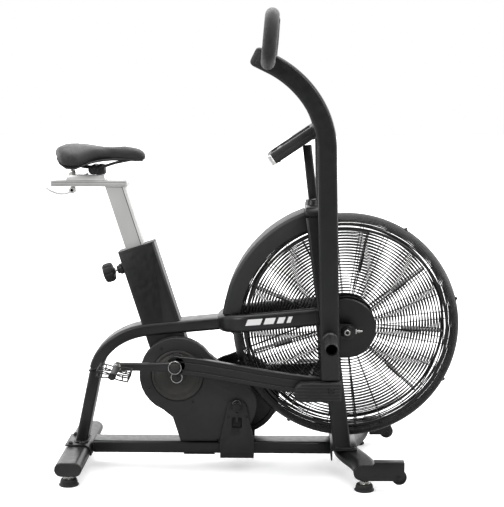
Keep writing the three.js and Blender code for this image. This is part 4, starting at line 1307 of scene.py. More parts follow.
    def axle(self) -> None:
        """The fan axle with its nuts and end cups, each cup holding a near-black disc of painted
        shade in its hole.
        """
        soften_and_fit("fan_axle", 0.0006, BLACK_STEEL)
        hub = middle("fan_axle")
        for side in Side:
            out = Y_AXIS * side.value
            seat = Vector((hub.x, 0.1110 * side.value, hub.z))
            nut = bolt(f"fan_axle_nut_{side.word}", Head.HEX, seat, out, 0.0270, 0.0120, 0.0190)
            fit(nut, BLACK_STEEL, "frame")
            seat = Vector((hub.x, 0.1255 * side.value, hub.z))
            cup = [(0.0052, -0.004), (0.0088, -0.004), (0.0088, 0.0022), (0.0080, 0.0030),
                   (0.0058, 0.0030), (0.0052, 0.0022)]
            ring = smooth(turned(f"fan_axle_end_{side.word}", cup, seat, out, 40))
            fit(ring, ZINC, "frame")
            # Near-black disc in the cup: painted shade in the axle's hole.
            core = [(0.0, -0.003), (0.0052, -0.003), (0.0052, 0.0002), (0.0, 0.0008)]
            fit(smooth(turned(f"fan_axle_core_{side.word}", core, seat, out, 24)), PAINTED_SHADE_AND_DIGITS,
                "frame")

    def clips(self) -> None:
        """Rim clips that hold the two cage halves together."""
        hub = middle("fan_axle")
        for count, degrees in enumerate((58.5, 14.0, 331.0, 285.0, 240.0, 200.0, 184.0)):
            angle = math.radians(degrees)
            ray = Vector((math.cos(angle), 0.0, math.sin(angle)))
            along = Vector((-math.sin(angle), 0.0, math.cos(angle)))
            turn = Matrix((along, Y_AXIS, ray)).transposed().to_4x4()
            place = Matrix.Translation(hub + ray * self.rim_radius) @ turn
            body = block("clip", Vector((-0.0055, -0.0115, -0.0060)),
                         Vector((0.0055, 0.0115, 0.0022)), 0.0014)
            screw = bolt("screw", Head.BUTTON, Vector((0.0, 0.0, 0.0020)), Z_AXIS, 0.0080, 0.0038)
            piece = merged(f"cage_clip_{count + 1}", [body, screw])
            piece.data.transform(place)
            if place.determinant() < 0:
                piece.data.flip_normals()
            fit(smooth(piece), CAGE_WIRE, "frame")


# ------------------------------------------------------------------ drive
@dataclass
class Drive:
    """Cover, cranks, pulleys, belts, links and pedals."""

    throw: float = 0.044
    reach: float = 0.170

    def build(self) -> None:
        """Makes every piece of the drive."""
        soften_and_fit("drive_cover", 0.0030, None, 3)
        self.cover_disc()
        soften_and_fit("bottom_bracket", 0.0008)
        soften_and_fit("crank_axle", 0.0010)
        soften_and_fit("jackshaft", 0.0006)
        self.pulleys()
        self.belts()
        for side in Side:
            self.crank(side)
            self.pedal_arm(side)
            self.pedal(side)
            self.link(side)

    def cover_disc(self) -> None:
        """The raised disc with its groove on the drive cover; a near-black ring in the groove is
        painted shade.
        """
        spot = middle("crank_axle")
        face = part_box("drive_cover")[0].y
        origin = Vector((spot.x, face, spot.z))
        profile = [(0.0160, 0.0010), (0.0160, -0.0034), (0.0190, -0.0040), (0.0560, -0.0040),
                   (0.0600, -0.0034), (0.0640, -0.0010), (0.0680, -0.0010), (0.0700, -0.0030),
                   (0.0740, -0.0032), (0.0765, -0.0020), (0.0770, 0.0010)]
        piece = turned("cover_disc", profile, origin, Y_AXIS, 96)
        fit(smooth(piece, 30.0), COVER_WARM, "frame")
        # Near-black ring lining the groove round the disc: painted shade.
        shade_ring = [(0.0772, 0.0010), (0.0772, -0.0012), (0.0778, -0.0020), (0.0795, -0.0020),
               (0.0806, -0.0010), (0.0808, 0.0010)]
        edge = turned("cover_groove", shade_ring, origin, Y_AXIS, 96)
        fit(smooth(edge, 30.0), PAINTED_SHADE_AND_DIGITS, "frame")
        for count, degrees in enumerate((35.0, 120.0, 205.0, 300.0)):
            angle = math.radians(degrees)
            seat = origin + Vector((math.cos(angle) * 0.094, 0.0, math.sin(angle) * 0.094))
            head = bolt(f"cover_screw_{count + 1}", Head.BUTTON, seat, -Y_AXIS, 0.0078, 0.0022)
            fit(head, BLACK_STEEL, "frame")

    def pulley(self, name: str, node: str, radius: float, low: float, high: float, bore: float,
               holes: int) -> None:
        """A flanged pulley with a dished web and round holes.

        Args:
            name: Name of the piece.
            node: Frame node that it stands for.
            radius: Radius under the belt.
            low: Y of one face.
            high: Y of the other face.
            bore: Radius of the bore.
            holes: Number of holes in the web.
        """
        spot = middle(node)
        rim = radius + 0.003
        mid = (low + high) / 2
        profile = [(bore, low), (bore + 0.014, low), (bore + 0.016, mid - 0.002),
                   (radius - 0.013, mid - 0.002), (radius - 0.011, low), (rim, low),
                   (rim, low + 0.0012), (radius, low + 0.0016), (radius, high - 0.0016),
                   (rim, high - 0.0012), (rim, high), (radius - 0.011, high),
                   (radius - 0.013, mid + 0.002), (bore + 0.016, mid + 0.002),
                   (bore + 0.014, high), (bore, high)]
        origin = Vector((spot.x, 0.0, spot.z))
        piece = turned(name, profile, origin, Y_AXIS, 96)
        orbit = (radius + bore) * 0.52
        drills = []
        for hole in range(holes):
            angle = hole * 2 * math.pi / holes
            centre = origin + Vector((math.cos(angle) * orbit, mid, math.sin(angle) * orbit))
            drills.append(round_bar("drill", radius * 0.17, centre - Y_AXIS * 0.02,
                                    centre + Y_AXIS * 0.02, 0.0004, 28))
        carved(piece, *drills)
        fit_like(smooth(piece), node)

    def pulleys(self) -> None:
        """The crank pulley and the large jackshaft pulley."""
        low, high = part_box("crank_pulley")
        self.pulley("crank_pulley_body", "crank_pulley", (high.x - low.x) / 2 - 0.003, low.y,
                    high.y, 0.0123, 6)
        low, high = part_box("jackshaft_pulley")
        self.pulley("jackshaft_pulley_body", "jackshaft_pulley", (high.x - low.x) / 2 - 0.003,
                    low.y, high.y, 0.0083, 0)

    def belts(self) -> None:
        """Both belts, each a ribbed band round its two pulleys."""
        crank, jack, fan = middle("crank_axle"), middle("jackshaft"), middle("fan_axle")
        low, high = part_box("drive_belt")
        self.belt("drive_belt_band", "drive_belt", crank, 0.0976, jack, 0.0296, low.y, high.y,
                  BLACK_RUBBER)
        low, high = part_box("fan_belt")
        self.belt("fan_belt_band", "fan_belt", jack, 0.1256, fan, 0.0316, low.y, high.y,
                  BELT_DUSTY)

    def belt(self, name: str, node: str, first: Vector, first_radius: float, second: Vector,
             second_radius: float, low: float, high: float, finish: Finish) -> None:
        """A poly-V belt round two circles.

        Args:
            name: Name of the piece.
            node: Frame node that it stands for.
            first: Centre of the first circle.
            first_radius: Inner radius of the belt there.
            second: Centre of the second circle.
            second_radius: Inner radius of the belt there.
            low: Lowest Y of the belt.
            high: Highest Y of the belt.
            finish: Surface of the belt.
        """
        run = Vector((second.x - first.x, second.z - first.z))
        heading = math.atan2(run.y, run.x)
        spread = math.acos((first_radius - second_radius) / run.length)
        mid = (low + high) / 2
        path = []
        for centre, radius, start, end in (
                (first, first_radius, heading + spread, heading - spread + 2 * math.pi),
                (second, second_radius, heading - spread, heading + spread)):
            for step in range(49):
                angle = start + (end - start) * step / 48
                path.append(Vector((centre.x + radius * math.cos(angle), mid,
                                    centre.z + radius * math.sin(angle))))
        half = (high - low) / 2
        ribs = 4
        section: Section = [(-half, 0.0032), (-half, 0.0008)]
        for rib in range(ribs):
            start = -half + rib * 2 * half / ribs
            section += [(start + half / ribs * 0.5, -0.0004), (start + half / ribs * 1.5, -0.0004),
                        (start + half / ribs * 2.0, 0.0010)]
        section[-1] = (half, 0.0008)
        section.append((half, 0.0032))
        places = []
        count = len(path)
        for index, point in enumerate(path):
            tangent = (path[(index + 1) % count] - path[index - 1]).normalized()
            outward = tangent.cross(Y_AXIS)
            turn = Matrix((Y_AXIS, outward, Y_AXIS.cross(outward))).transposed().to_4x4()
            places.append(Matrix.Translation(point) @ turn)
        piece = drawn(name, section, places, True)
        fit_like(smooth(piece, 25.0), node, finish)

    def crank(self, side: Side) -> None:
        """One crank web with its cap screws and trim rings."""
        soften_and_fit(f"crank_web_{side.word}", 0.0016, FORGED_CRANK, 3)
        hub = middle("crank_axle")
        out = Y_AXIS * side.value
        body = "crank"
        ring = [(0.0150, 0.0), (0.0172, 0.0), (0.0176, 0.0008), (0.0172, 0.0020), (0.0158, 0.0022),
                (0.0150, 0.0014)]
        face = Vector((hub.x, 0.0918 * side.value, hub.z))
        trim = smooth(turned(f"axle_ring_{side.word}", ring, face, out, 48))
        fit(trim, ZINC, body)
        cap = [(0.0, 0.0), (0.0149, 0.0), (0.0149, 0.0014), (0.0120, 0.0016), (0.0116, 0.0026),
               (0.0104, 0.0036), (0.0, 0.0040)]
        fit(smooth(turned(f"axle_cap_{side.word}", cap, face, out, 40)), COVER_GRAIN, body)
        pin = Vector((hub.x, 0.1560 * side.value, hub.z - self.throw * side.value))
        ring = [(0.0172, 0.0), (0.0194, 0.0), (0.0199, 0.0008), (0.0194, 0.0022), (0.0180, 0.0026),
                (0.0172, 0.0014)]
        fit(smooth(turned(f"pin_ring_{side.word}", ring, pin, out, 48)), ZINC, body)
        cap = [(0.0, 0.0), (0.0171, 0.0), (0.0171, 0.0010), (0.0136, 0.0012), (0.0130, 0.0034),
               (0.0116, 0.0044), (0.0, 0.0048)]
        fit(smooth(turned(f"pin_cap_{side.word}", cap, pin, out, 40)), COVER_GRAIN, body)

    def pedal_arm(self, side: Side) -> None:
        """One forged pedal arm, tapering in height from the crank towards the pedal, with its axle.
        """
        hub = middle("crank_axle")
        end = self.pedal_place(side)
        near, far = 0.1342, 0.1538
        centre = (near + far) / 2 * side.value
        section = oblong(far - near, 0.0300, 0.0065, 6)
        places = []
        for share, size in ((0.0, 0.98), (0.12, 0.94), (0.3, 0.84), (0.55, 0.78), (0.8, 0.78),
                            (1.0, 0.80)):
            spot = Vector((hub.x + (end.x - hub.x) * share, centre, end.z))
            places.append(Matrix.Translation(spot) @ CROSSWISE @ Matrix.Diagonal((1, size, 1, 1)))
        if end.x < hub.x:
            places.reverse()
        parts = [drawn("shank", section, places)]
        for place, radius in ((hub.x, 0.0180), (end.x, 0.0132)):
            rim = [(0.0, near), (radius - 0.003, near), (radius, near + 0.003),
                   (radius, far - 0.003), (radius - 0.003, far), (0.0, far)]
            rim = [(r, reach * side.value) for r, reach in rim]
            parts.append(turned("boss", rim, Vector((place, 0.0, end.z)), Y_AXIS, 48))
        spindle = [(0.0, far - 0.002), (0.0088, far - 0.002), (0.0088, 0.1660), (0.0060, 0.1690),
                   (0.0058, 0.2770), (0.0, 0.2775)]
        spindle = [(r, reach * side.value) for r, reach in spindle]
        parts.append(turned("spindle", spindle, Vector((end.x, 0.0, end.z)), Y_AXIS, 32))
        arm = merged(f"pedal_arm_{side.word}_body", parts)
        fit_like(smooth(arm, 40.0), f"pedal_arm_{side.word}", FORGED_CRANK)
        out = Y_AXIS * side.value
        seat = Vector((end.x, 0.1342 * side.value, end.z))
        head = bolt(f"pedal_axle_head_{side.word}", Head.SOCKET, seat, -out, 0.0160, 0.0040)
        fit(head, BLACK_STEEL, "crank")
        flat = bolt(f"pedal_axle_flats_{side.word}", Head.HEX,
                    Vector((end.x, 0.1540 * side.value, end.z)), out, 0.0170, 0.0090, 0.0118)
        fit(flat, ZINC, "crank")

    def pedal_place(self, side: Side) -> Vector:
        """Centre line of one pedal at rest."""
        hub = middle("crank_axle")
        turn = -side.value
        return Vector((hub.x - self.reach * turn, 0.0, hub.z + self.throw * turn))

    def pedal(self, side: Side) -> None:
        """One cage pedal: body, toothed cage plates, cross bars and dust cap."""
        out = side.value
        spot = self.pedal_place(side)
        inner, outer = 0.172, 0.270
        parts = []
        for fore in (-1, 1):
            teeth: list[Vector] = []
            for tooth in range(13):
                width = inner + (outer - inner) * tooth / 12
                teeth.append(Vector((fore * 0.0470, width * out, 0.0125 if tooth % 2 else 0.0090)))
            for tooth in reversed(range(13)):
                width = inner + (outer - inner) * tooth / 12
                teeth.append(Vector((fore * 0.0470, width * out,
                                     -0.0125 if tooth % 2 else -0.0090)))
            rail = plate("cage_plate", teeth, X_AXIS * 0.0026 * -fore, 0.0)
            windows = []
            for gap in range(4):
                start = inner + 0.0055 + gap * 0.0235
                ends = sorted((start * out, (start + 0.0175) * out))
                windows.append(block("window", Vector((fore * 0.0455 - 0.006, ends[0], -0.0052)),
                                     Vector((fore * 0.0455 + 0.006, ends[1], 0.0052))))
            parts.append(rounded(carved(rail, *windows), 0.0005, 1))
            for up in (-0.0085, 0.0085):
                for width in (inner + 0.004, (inner + outer) / 2, outer - 0.006):
                    bow = [Vector((fore * 0.0095, width * out, up * 0.75)),
                           Vector((fore * 0.024, (width + 0.001) * out, up)),
                           Vector((fore * 0.0455, width * out, up))]
                    parts.append(swept("bow", oblong(0.0040, 0.0032, 0.0012, 3), bow, Z_AXIS))
            for width in (inner + 0.004, outer - 0.006):
                parts.append(block("post", Vector((fore * 0.0300 - 0.0020, width * out - 0.0016,
                                                   -0.0085)),
                                   Vector((fore * 0.0300 + 0.0020, width * out + 0.0016, 0.0085)),
                                   0.0008))
        barrel = [(0.0064, inner), (0.0100, inner), (0.0112, inner + 0.003),
                  (0.0112, inner + 0.012), (0.0095, inner + 0.018), (0.0090, inner + 0.050),
                  (0.0095, outer - 0.018), (0.0112, outer - 0.012), (0.0112, outer - 0.002),
                  (0.0100, outer), (0.0064, outer)]
        parts.append(turned("barrel", barrel, Vector(), Y_AXIS * out, 40))
        piece = merged(f"pedal_{side.word}_body", parts)
        tip = -0.17 if side is Side.RIGHT else 0.1
        piece.data.transform(Matrix.Translation(spot) @ Matrix.Rotation(-tip, 4, "Y"))
        fit_like(smooth(piece), f"pedal_{side.word}")
        cap = [(0.0, 0.0), (0.0106, 0.0), (0.0110, 0.0016), (0.0096, 0.0034), (0.0040, 0.0040),
               (0.0, 0.0034)]
        seat = Vector((spot.x, outer * out, spot.z))
        dust = smooth(turned(f"pedal_cap_{side.word}", cap, seat, Y_AXIS * out, 40))
        fit(dust, BLACK_STEEL, f"pedal_{side.word}")

    def link(self, side: Side) -> None:
        """One link rod with two long grooves on its outer face."""
        out = side.value
        hub = middle("crank_axle")
        eye = Vector((hub.x, 0.0, hub.z - self.throw * out))
        joint = at(-47, 0, 276)
        along = joint - eye
        length = along.length
        lean = math.atan2(along.z, along.x)
        turn = Matrix.Translation(eye) @ Matrix.Rotation(-lean, 4, "Y")
        path = bezier((Vector((0, 0, 0)), Vector((length * 0.25, 0, 0.010)),
                       Vector((length * 0.62, 0, -0.014)), Vector((length, 0, 0))), 34)
        half = 0.010
        section = self.grooved(half, 0.027)
        bar = swept("bar", section, path, Y_AXIS)
        edges = [(0.0082, -half), (0.0275, -half), (0.0290, -half + 0.0015),
                 (0.0290, half - 0.0015), (0.0275, half), (0.0082, half)]
        eye_ring = turned("eye", edges, Vector(), Y_AXIS, 48)
        nose = [(0.0080, -half), (0.0245, -half), (0.0260, -half + 0.0015),
                (0.0260, half - 0.0015), (0.0245, half), (0.0080, half)]
        nose_ring = turned("nose", nose, Vector((length, 0, 0)), Y_AXIS, 48)
        piece = merged(f"link_{side.word}_bar", [bar, eye_ring, nose_ring])
        piece.data.transform(Matrix.Translation(Vector((0, 0.118 * out, 0))) @ turn)
        fit_like(smooth(piece, 30.0), f"link_{side.word}")

    def grooved(self, half: float, tall: float) -> Section:
        """Section of the link bar: rounded, with two grooves on each face."""
        edge = 0.004
        points: Section = []
        for face in (1, -1):
            for quarter in range(5):
                angle = (quarter / 4) * math.pi / 2
                points.append((face * (half - edge + edge * math.sin(angle)),
                               face * (tall - edge + edge * math.cos(angle))))
            for spot in (0.012, -0.012):
                for step, sink in ((0.0022, 0.0), (0.0008, 0.0016), (-0.0008, 0.0016),
                                   (-0.0022, 0.0)):
                    points.append((face * (half - sink), face * (spot + step)))
            for quarter in range(4):
                angle = (quarter / 4) * math.pi / 2
                points.append((face * (half - edge + edge * math.cos(angle)),
                               face * (-tall + edge - edge * math.sin(angle))))
        return points


# ------------------------------------------------------------------ arms
@dataclass
class Arms:
    """Swinging arms, joint covers, foot pegs and foam grips."""

    section: tuple[float, float, float] = (0.030, 0.057, 0.0088)
    ribs: int = 6

    def build(self) -> None:
        """Makes both arms."""
        for side in Side:
            self.tube(side)
            self.joint_cover(side)
            self.peg(side)
            self.grip(side)

    def tube(self, side: Side) -> None:
        """One arm tube with its end plug."""
        y = 146 * side.value
        shoulder = at(-64, y, 985)
        path = [at(-50, y, 306).lerp(shoulder, step / 5) for step in range(5)]
        path += bezier((shoulder, at(-67, y, 1085), at(-130, y, 1172), at(-215, y, 1218)), 30)
        path.append(at(-263, y, 1241.5))
        piece = swept(f"arm_{side.word}_tube", oblong(*self.section, 6), path, Y_AXIS)
        fit_like(smooth(rounded(piece, 0.0008, 2, 60.0)), f"arm_{side.word}")
        end, before = at(-274, y, 1247), at(-215, y, 1218)
        out = (end - before).normalized()
        side_axis = Y_AXIS
        turn = Matrix((side_axis, out.cross(side_axis), out)).transposed().to_4x4()
        places = []
        for step, size in ((-0.016, 0.90), (-0.0122, 0.90), (-0.0122, 0.996)):
            places.append(Matrix.Translation(end + out * step) @ turn
                          @ Matrix.Diagonal((size, size, 1, 1)))
        for step in range(1, 9):
            angle = math.pi / 2 * step / 8
            reach = -0.0122 + 0.0150 * math.sin(angle)
            inward = 1.0 - math.cos(angle)
            places.append(Matrix.Translation(end + out * reach) @ turn
                          @ Matrix.Diagonal((0.996 - 0.32 * inward, 0.996 - 0.42 * inward, 1, 1)))
        cap = smooth(drawn(f"arm_cap_{side.word}", oblong(*self.section, 6), places))
        fit(cap, COVER_GRAIN, f"arm_{side.word}")

    def joint_cover(self, side: Side) -> None:
        """The ribbed cover over the arm's lower joint and its bolt, with a near-black disc of
        painted shade round the bolt.
        """
        node = f"joint_cover_{side.word}"
        out = side.value
        base = 132 * out
        radius = 28.0
        centre_x, centre_z = -128.0, 268.0
        outline = [at(-17, base, 240.5), at(-17, base, 301)]
        outline.append(at(-100, base, 297.5))
        for step in range(17):
            angle = math.pi / 2 + math.pi * step / 16
            outline.append(at(centre_x + radius * math.cos(angle), base,
                              centre_z + radius * math.sin(angle)))
        body = plate("cover", outline, Y_AXIS * 0.0325 * out, 0.0045, 3)
        parts = [body]
        for rib in range(self.ribs):
            height = 247.5 + rib * 9.3
            inset = math.sqrt(max(radius ** 2 - (height - centre_z) ** 2, 0.0))
            start = centre_x - inset + 4.0
            ridge = [at(start, 163.6 * out, height), at(start + 3, 165.4 * out, height),
                     at(-24, 165.4 * out, height), at(-21, 163.6 * out, height)]
            parts.append(swept("ridge", oblong(0.0030, 0.0046, 0.0013, 3), ridge, Y_AXIS * 1.0))
        piece = merged(f"{node}_shell", parts)
        fit_like(smooth(piece), node)
        seat = at(-47, 166.2 * out, 276)
        # Near-black disc under the bolt head: painted shade in the recess round the bolt.
        boss = [(0.0, -0.003), (0.0108, -0.003), (0.0110, 0.0), (0.0100, 0.0004), (0.0, 0.0004)]
        fit(smooth(turned(f"joint_boss_{side.word}", boss, seat, Y_AXIS * out, 36)), PAINTED_SHADE_AND_DIGITS,
            f"arm_{side.word}")
        head = bolt(f"joint_bolt_{side.word}", Head.SOCKET, seat + Y_AXIS * out * 0.0006,
                    Y_AXIS * out, 0.0130, 0.0026)
        fit(head, BLACK_STEEL, f"arm_{side.word}")

    def peg(self, side: Side) -> None:
        """One foot peg: pivot shaft, collar and an open knurled tube."""
        node = f"foot_peg_{side.word}"
        spot = middle(node)
        origin = Vector((spot.x, 0.0, spot.z))
        profile = [(0.0, 0.1113), (0.0156, 0.1113), (0.0156, 0.1640), (0.0215, 0.1640),
                   (0.0236, 0.1660), (0.0240, 0.1690), (0.0240, 0.1790), (0.0220, 0.1820),
                   (0.0190, 0.1840), (0.0186, 0.1860)]
        for groove in range(9):
            start = 0.196 + groove * 0.0115
            profile += [(0.0186, start), (0.0180, start + 0.0008), (0.0180, start + 0.0018),
                        (0.0186, start + 0.0026)]
        profile += [(0.0186, 0.3060), (0.0180, 0.3070), (0.0162, 0.3070), (0.0156, 0.3062),
                    (0.0155, 0.1920), (0.0, 0.1920)]
        piece = turned(f"{node}_tube", profile, origin, Y_AXIS * side.value, 56)
        fit_like(smooth(piece, 40.0), node)

    def grip(self, side: Side) -> None:
        """The foam grip loop on its plug."""
        out = side.value
        knots = [(0, 161.3, 1226.1), (0, 170, 1226.3), (0.5, 200, 1227.3), (1, 230, 1229),
                 (4, 279, 1254), (9, 284, 1306), (12, 262, 1344), (13, 215, 1357),
                 (13, 190, 1357), (13, 172, 1357)]
        points = [at(-234 + ahead, across * out, height) for ahead, across, height in knots]
        path = flowing(points, 8)
        places = []
        count = len(path)
        for index, place in enumerate(stations(path)):
            share = index / (count - 1)
            ends = min(share * 40, (1 - share) * 30, 1.0)
            size = 0.80 + 0.20 * math.sqrt(max(ends, 0.0))
            places.append(place @ Matrix.Diagonal((size, size, 1.0, 1.0)))
        piece = drawn(f"grip_{side.word}_foam", disc(0.0203, 28), places)
        ruffle(piece, 0.0004, 60.0)
        fit_like(smooth(piece, 60.0), f"grip_{side.word}")
        plug = round_bar(f"grip_plug_{side.word}", 0.0120, at(-234, 147 * out, 1226),
                         at(-234, 164 * out, 1226.1))
        fit(plug, POWDER_COAT, f"arm_{side.word}")
        ferrule = [(0.0122, 0.0), (0.0185, 0.0), (0.0195, 0.0008), (0.0195, 0.0026),
                   (0.0122, 0.0030)]
        ring = turned(f"grip_ring_{side.word}", ferrule, at(-234, 161.1 * out, 1226),
                      Y_AXIS * out, 40)
        fit(smooth(ring), COVER_GRAIN, f"arm_{side.word}")


def flowing(points: Sequence[Vector], steps: int) -> list[Vector]:
    """A smooth path through points, with some steps between each two."""
    path: list[Vector] = []
    for index in range(len(points) - 1):
        p0 = points[max(index - 1, 0)]
        p1, p2 = points[index], points[index + 1]
        p3 = points[min(index + 2, len(points) - 1)]
        for step in range(steps):
            t = step / steps
            path.append(0.5 * ((2 * p1) + (p2 - p0) * t + (2 * p0 - 5 * p1 + 4 * p2 - p3) * t * t
                               + (3 * p1 - p0 - 3 * p2 + p3) * t * t * t))
    path.append(points[-1].copy())
    return path


def ruffle(piece: bpy.types.Object, height: float, scale: float) -> None:
    """Moves a soft piece's surface slightly in and out by a steady noise.

    Args:
        piece: Mesh object that is changed.
        height: Greatest movement in metres.
        scale: How closely the waves follow each other.
    """
    for corner in piece.data.vertices:
        corner.co += corner.normal * height * noise.noise(corner.co * scale)


# ------------------------------------------------------------------ seat
@dataclass
class Seat:
    """Post with its rail, carriage, lever, clamp, saddle and pull pin."""

    voxel: float = 0.005
    frames: int = 20
    cap: float = 0.006

    def build(self) -> None:
        """Makes every piece of the seat."""
        self.post()
        self.carriage()
        self.lever()
        self.clamp()
        self.saddle()
        self.pin()

    def tube_axes(self) -> tuple[Vector, Vector, Vector]:
        """Mouth of the seat tube, its direction upward and the direction to its rear."""
        return at(*SEAT_MOUTH), SEAT_UP, SEAT_REAR

    def post(self) -> None:
        """The post welded to its slotted rail, with holes for the pull pin, near-black lines of
        painted shade in the rail's grooves, and on each side a pale strip of painted highlight near
        the front edge with a thin dark line behind it.
        """
        post = softened("seat_post", "seat_post_body", 0.0)
        mouth, up, rear = self.tube_axes()
        drills = []
        for hole in range(9):
            centre = mouth + up * (-0.050 + hole * 0.025) + rear * 0.024
            drills.append(round_bar("drill", 0.0052, centre - rear * 0.012,
                                    centre + rear * 0.004, 0.0003, 20))
        carved(post, *drills)
        rounded(post, 0.0010, 2, 50.0)
        fit_like(smooth(post), "seat_post", POST_SILVER)
        rail_low, rail_high = at(-882, 0, 861), at(-657, 0, 879)
        for word, end, step in (("rear", rail_low.x, -1.0), ("front", rail_high.x, 1.0)):
            places = []
            for out, size in ((-0.0004, 0.96), (0.0002, 0.985), (0.0016, 0.975), (0.0022, 0.93)):
                place = Matrix.Translation(Vector((end + out * step, 0.0, at(0, 0, 870).z)))
                places.append(place @ CROSSWISE @ Matrix.Diagonal((size, size, 1, 1)))
            cap = drawn(f"seat_rail_cap_{word}", oblong(0.054, 0.018, 0.0025, 4), places)
            fit(smooth(cap), SATIN_SILVER, "seat_post")
        # Thin near-black lines along each side of the rail: painted shade in its grooves.
        for side in Side:
            for count, height in enumerate((866.0, 874.0)):
                groove = block(f"seat_rail_line_{side.word}_{count + 1}",
                               at(-880, 26.80 * side.value - 0.35, height - 0.45),
                               at(-659, 26.80 * side.value + 0.35, height + 0.45), 0.0002)
                fit(groove, PAINTED_SHADE_AND_DIGITS, "seat_post")
        turn = Matrix((rear, Y_AXIS, rear.cross(Y_AXIS))).transposed().to_4x4()
        for side in Side:
            front = mouth - rear * 0.025 + Y_AXIS * 0.0200 * side.value
            # On each side face near the front edge: the pale strip is a painted highlight; the thin
            # dark line lies behind it.
            for word, inset, wide, finish, slot in (
                    ("line", 0.0092, 0.0018, BLACK_STEEL, "dark_steel"),
                    ("stripe", 0.0050, 0.0056, PAINTED_HIGHLIGHT, "bright_trim")):
                foot = front + rear * inset
                strip = drawn(f"post_{word}_{side.word}", oblong(wide, 0.0007, 0.0002, 2),
                              [Matrix.Translation(foot - up * 0.02) @ turn,
                               Matrix.Translation(foot + up * 0.188) @ turn])
                fit(strip, finish, "seat_post")

    def carriage(self) -> None:
        """The carriage with its quick-release nut and knurled rim."""
        soften_and_fit("seat_carriage", 0.0010)
        spot = at(-822, 0, 894.5)
        profile = [(0.0046, 0.0), (0.0098, 0.0), (0.0104, 0.0010), (0.0104, 0.0100),
                   (0.0092, 0.0128), (0.0060, 0.0142), (0.0046, 0.0142)]
        nut = turned("carriage_nut", profile, spot, Z_AXIS, 48)
        for corner in nut.data.vertices:
            flat = Vector((corner.co.x - spot.x, corner.co.y - spot.y))
            if flat.length > 0.0096:
                swell = 1.0 + 0.035 * math.cos(12 * math.atan2(flat.y, flat.x))
                corner.co.x = spot.x + flat.x * swell
                corner.co.y = spot.y + flat.y * swell
        fit(smooth(nut), ZINC, "seat_carriage")
        rod = round_bar("carriage_rod", 0.0044, spot, spot + Z_AXIS * 0.0165)
        fit(rod, ZINC, "seat_carriage")
        for count, (ahead, across) in enumerate(((-780, 17), (-780, -17))):
            head = bolt(f"carriage_screw_{count + 1}", Head.SOCKET, at(ahead, across, 895),
                        Z_AXIS, 0.0085, 0.0030)
            fit(head, ZINC, "seat_carriage")

    def lever(self) -> None:
        """The cam lever with its pivot pin."""
        soften_and_fit("seat_lever", 0.0009, SATIN_SILVER)
        for side in Side:
            seat = at(-822, 14 * side.value, 849)
            head = bolt(f"lever_pin_{side.word}", Head.BUTTON, seat, Y_AXIS * side.value,
                        0.0110, 0.0026)
            fit(head, ZINC, "seat_lever")

    def clamp(self) -> None:
        """The saddle clamp with its washers, nut and bolt."""
        soften_and_fit("saddle_clamp", 0.0012)
        for side in Side:
            out = Y_AXIS * side.value
            seat = at(-755, 33 * side.value, 912)
            rim = [(0.0060, 0.0), (0.0138, 0.0), (0.0144, 0.0008), (0.0136, 0.0024),
                   (0.0105, 0.0030), (0.0060, 0.0030)]
            fit(smooth(turned(f"clamp_washer_{side.word}", rim, seat, out, 40)), BLACK_STEEL,
                "seat_carriage")
            head = bolt(f"clamp_nut_{side.word}", Head.HEX, seat + out * 0.0028, out, 0.0130,
                        0.0060)
            fit(head, BLACK_STEEL, "seat_carriage")
        top = bolt("clamp_top_nut", Head.HEX, at(-733, 0, 925.6), Z_AXIS, 0.0120, 0.0026)
        fit(top, BLACK_STEEL, "seat_carriage")

    def saddle(self) -> None:
        """Padded cover, moulded base and the two steel rails."""
        stations_mm = [  # ahead, half width, top, bottom
            (-870, 20, 966, 956), (-866, 46, 976, 949), (-856, 68, 983, 943),
            (-841, 84, 985.5, 937), (-820, 89, 984.5, 933), (-797, 86, 982, 932),
            (-775, 74, 979.5, 933), (-755, 58, 977, 936), (-735, 43, 975, 940),
            (-715, 33, 974, 942.5), (-695, 27.5, 974, 943.5), (-670, 25.5, 975.5, 943.0),
            (-645, 25.5, 977, 942), (-620, 24.5, 975.5, 940.5), (-606, 20, 969, 940.5),
            (-598, 12, 960, 944),
        ]
        section: Section = []
        for step in range(40):
            angle = 2 * math.pi * step / 40
            c, s = math.cos(angle), math.sin(angle)
            power = 0.62 if s > 0 else 0.42
            section.append((math.copysign(abs(c) ** 0.78, c), math.copysign(abs(s) ** power, s)))
        places = []
        for ahead, half, top, bottom in stations_mm:
            centre = at(ahead, 0, (top + bottom) / 2)
            places.append(Matrix.Translation(centre) @ CROSSWISE
                          @ Matrix.Diagonal((half * MM, (top - bottom) / 2 * MM, 1, 1)))
        shell = drawn("saddle_cover", section, places)
        for corner in shell.data.vertices:
            self.shape_saddle(corner)
        pad = self.stuffed(shell)
        self.seam(pad)
        pad.name = pad.data.name = "saddle_cover"
        fit_like(smooth(pad, 70.0), "saddle", SADDLE_VINYL)
        self.base(section)
        self.rails()

    def shape_saddle(self, corner: bpy.types.MeshVertex) -> None:
        """Drops the flanks and presses a shallow channel along the top."""
        reach = abs(corner.co.y)
        ahead = (corner.co.x - at(0, 0, 0).x) / MM
        wide = max(0.0, min(1.0, (-730 - ahead) / 60))
        drop = 0.016 * wide * max(0.0, (reach - 0.045) / 0.045) ** 1.3
        low = at(0, 0, 951).z
        corner.co.z -= drop
        if corner.co.z < low and reach > 0.05 and wide > 0:
            corner.co.z -= 0.004 * wide
        channel = math.exp(-(reach / 0.010) ** 2) * max(0.0, min(1.0, (-650 - ahead) / 60))
        if corner.co.z > at(0, 0, 962).z:
            corner.co.z -= 0.0035 * channel

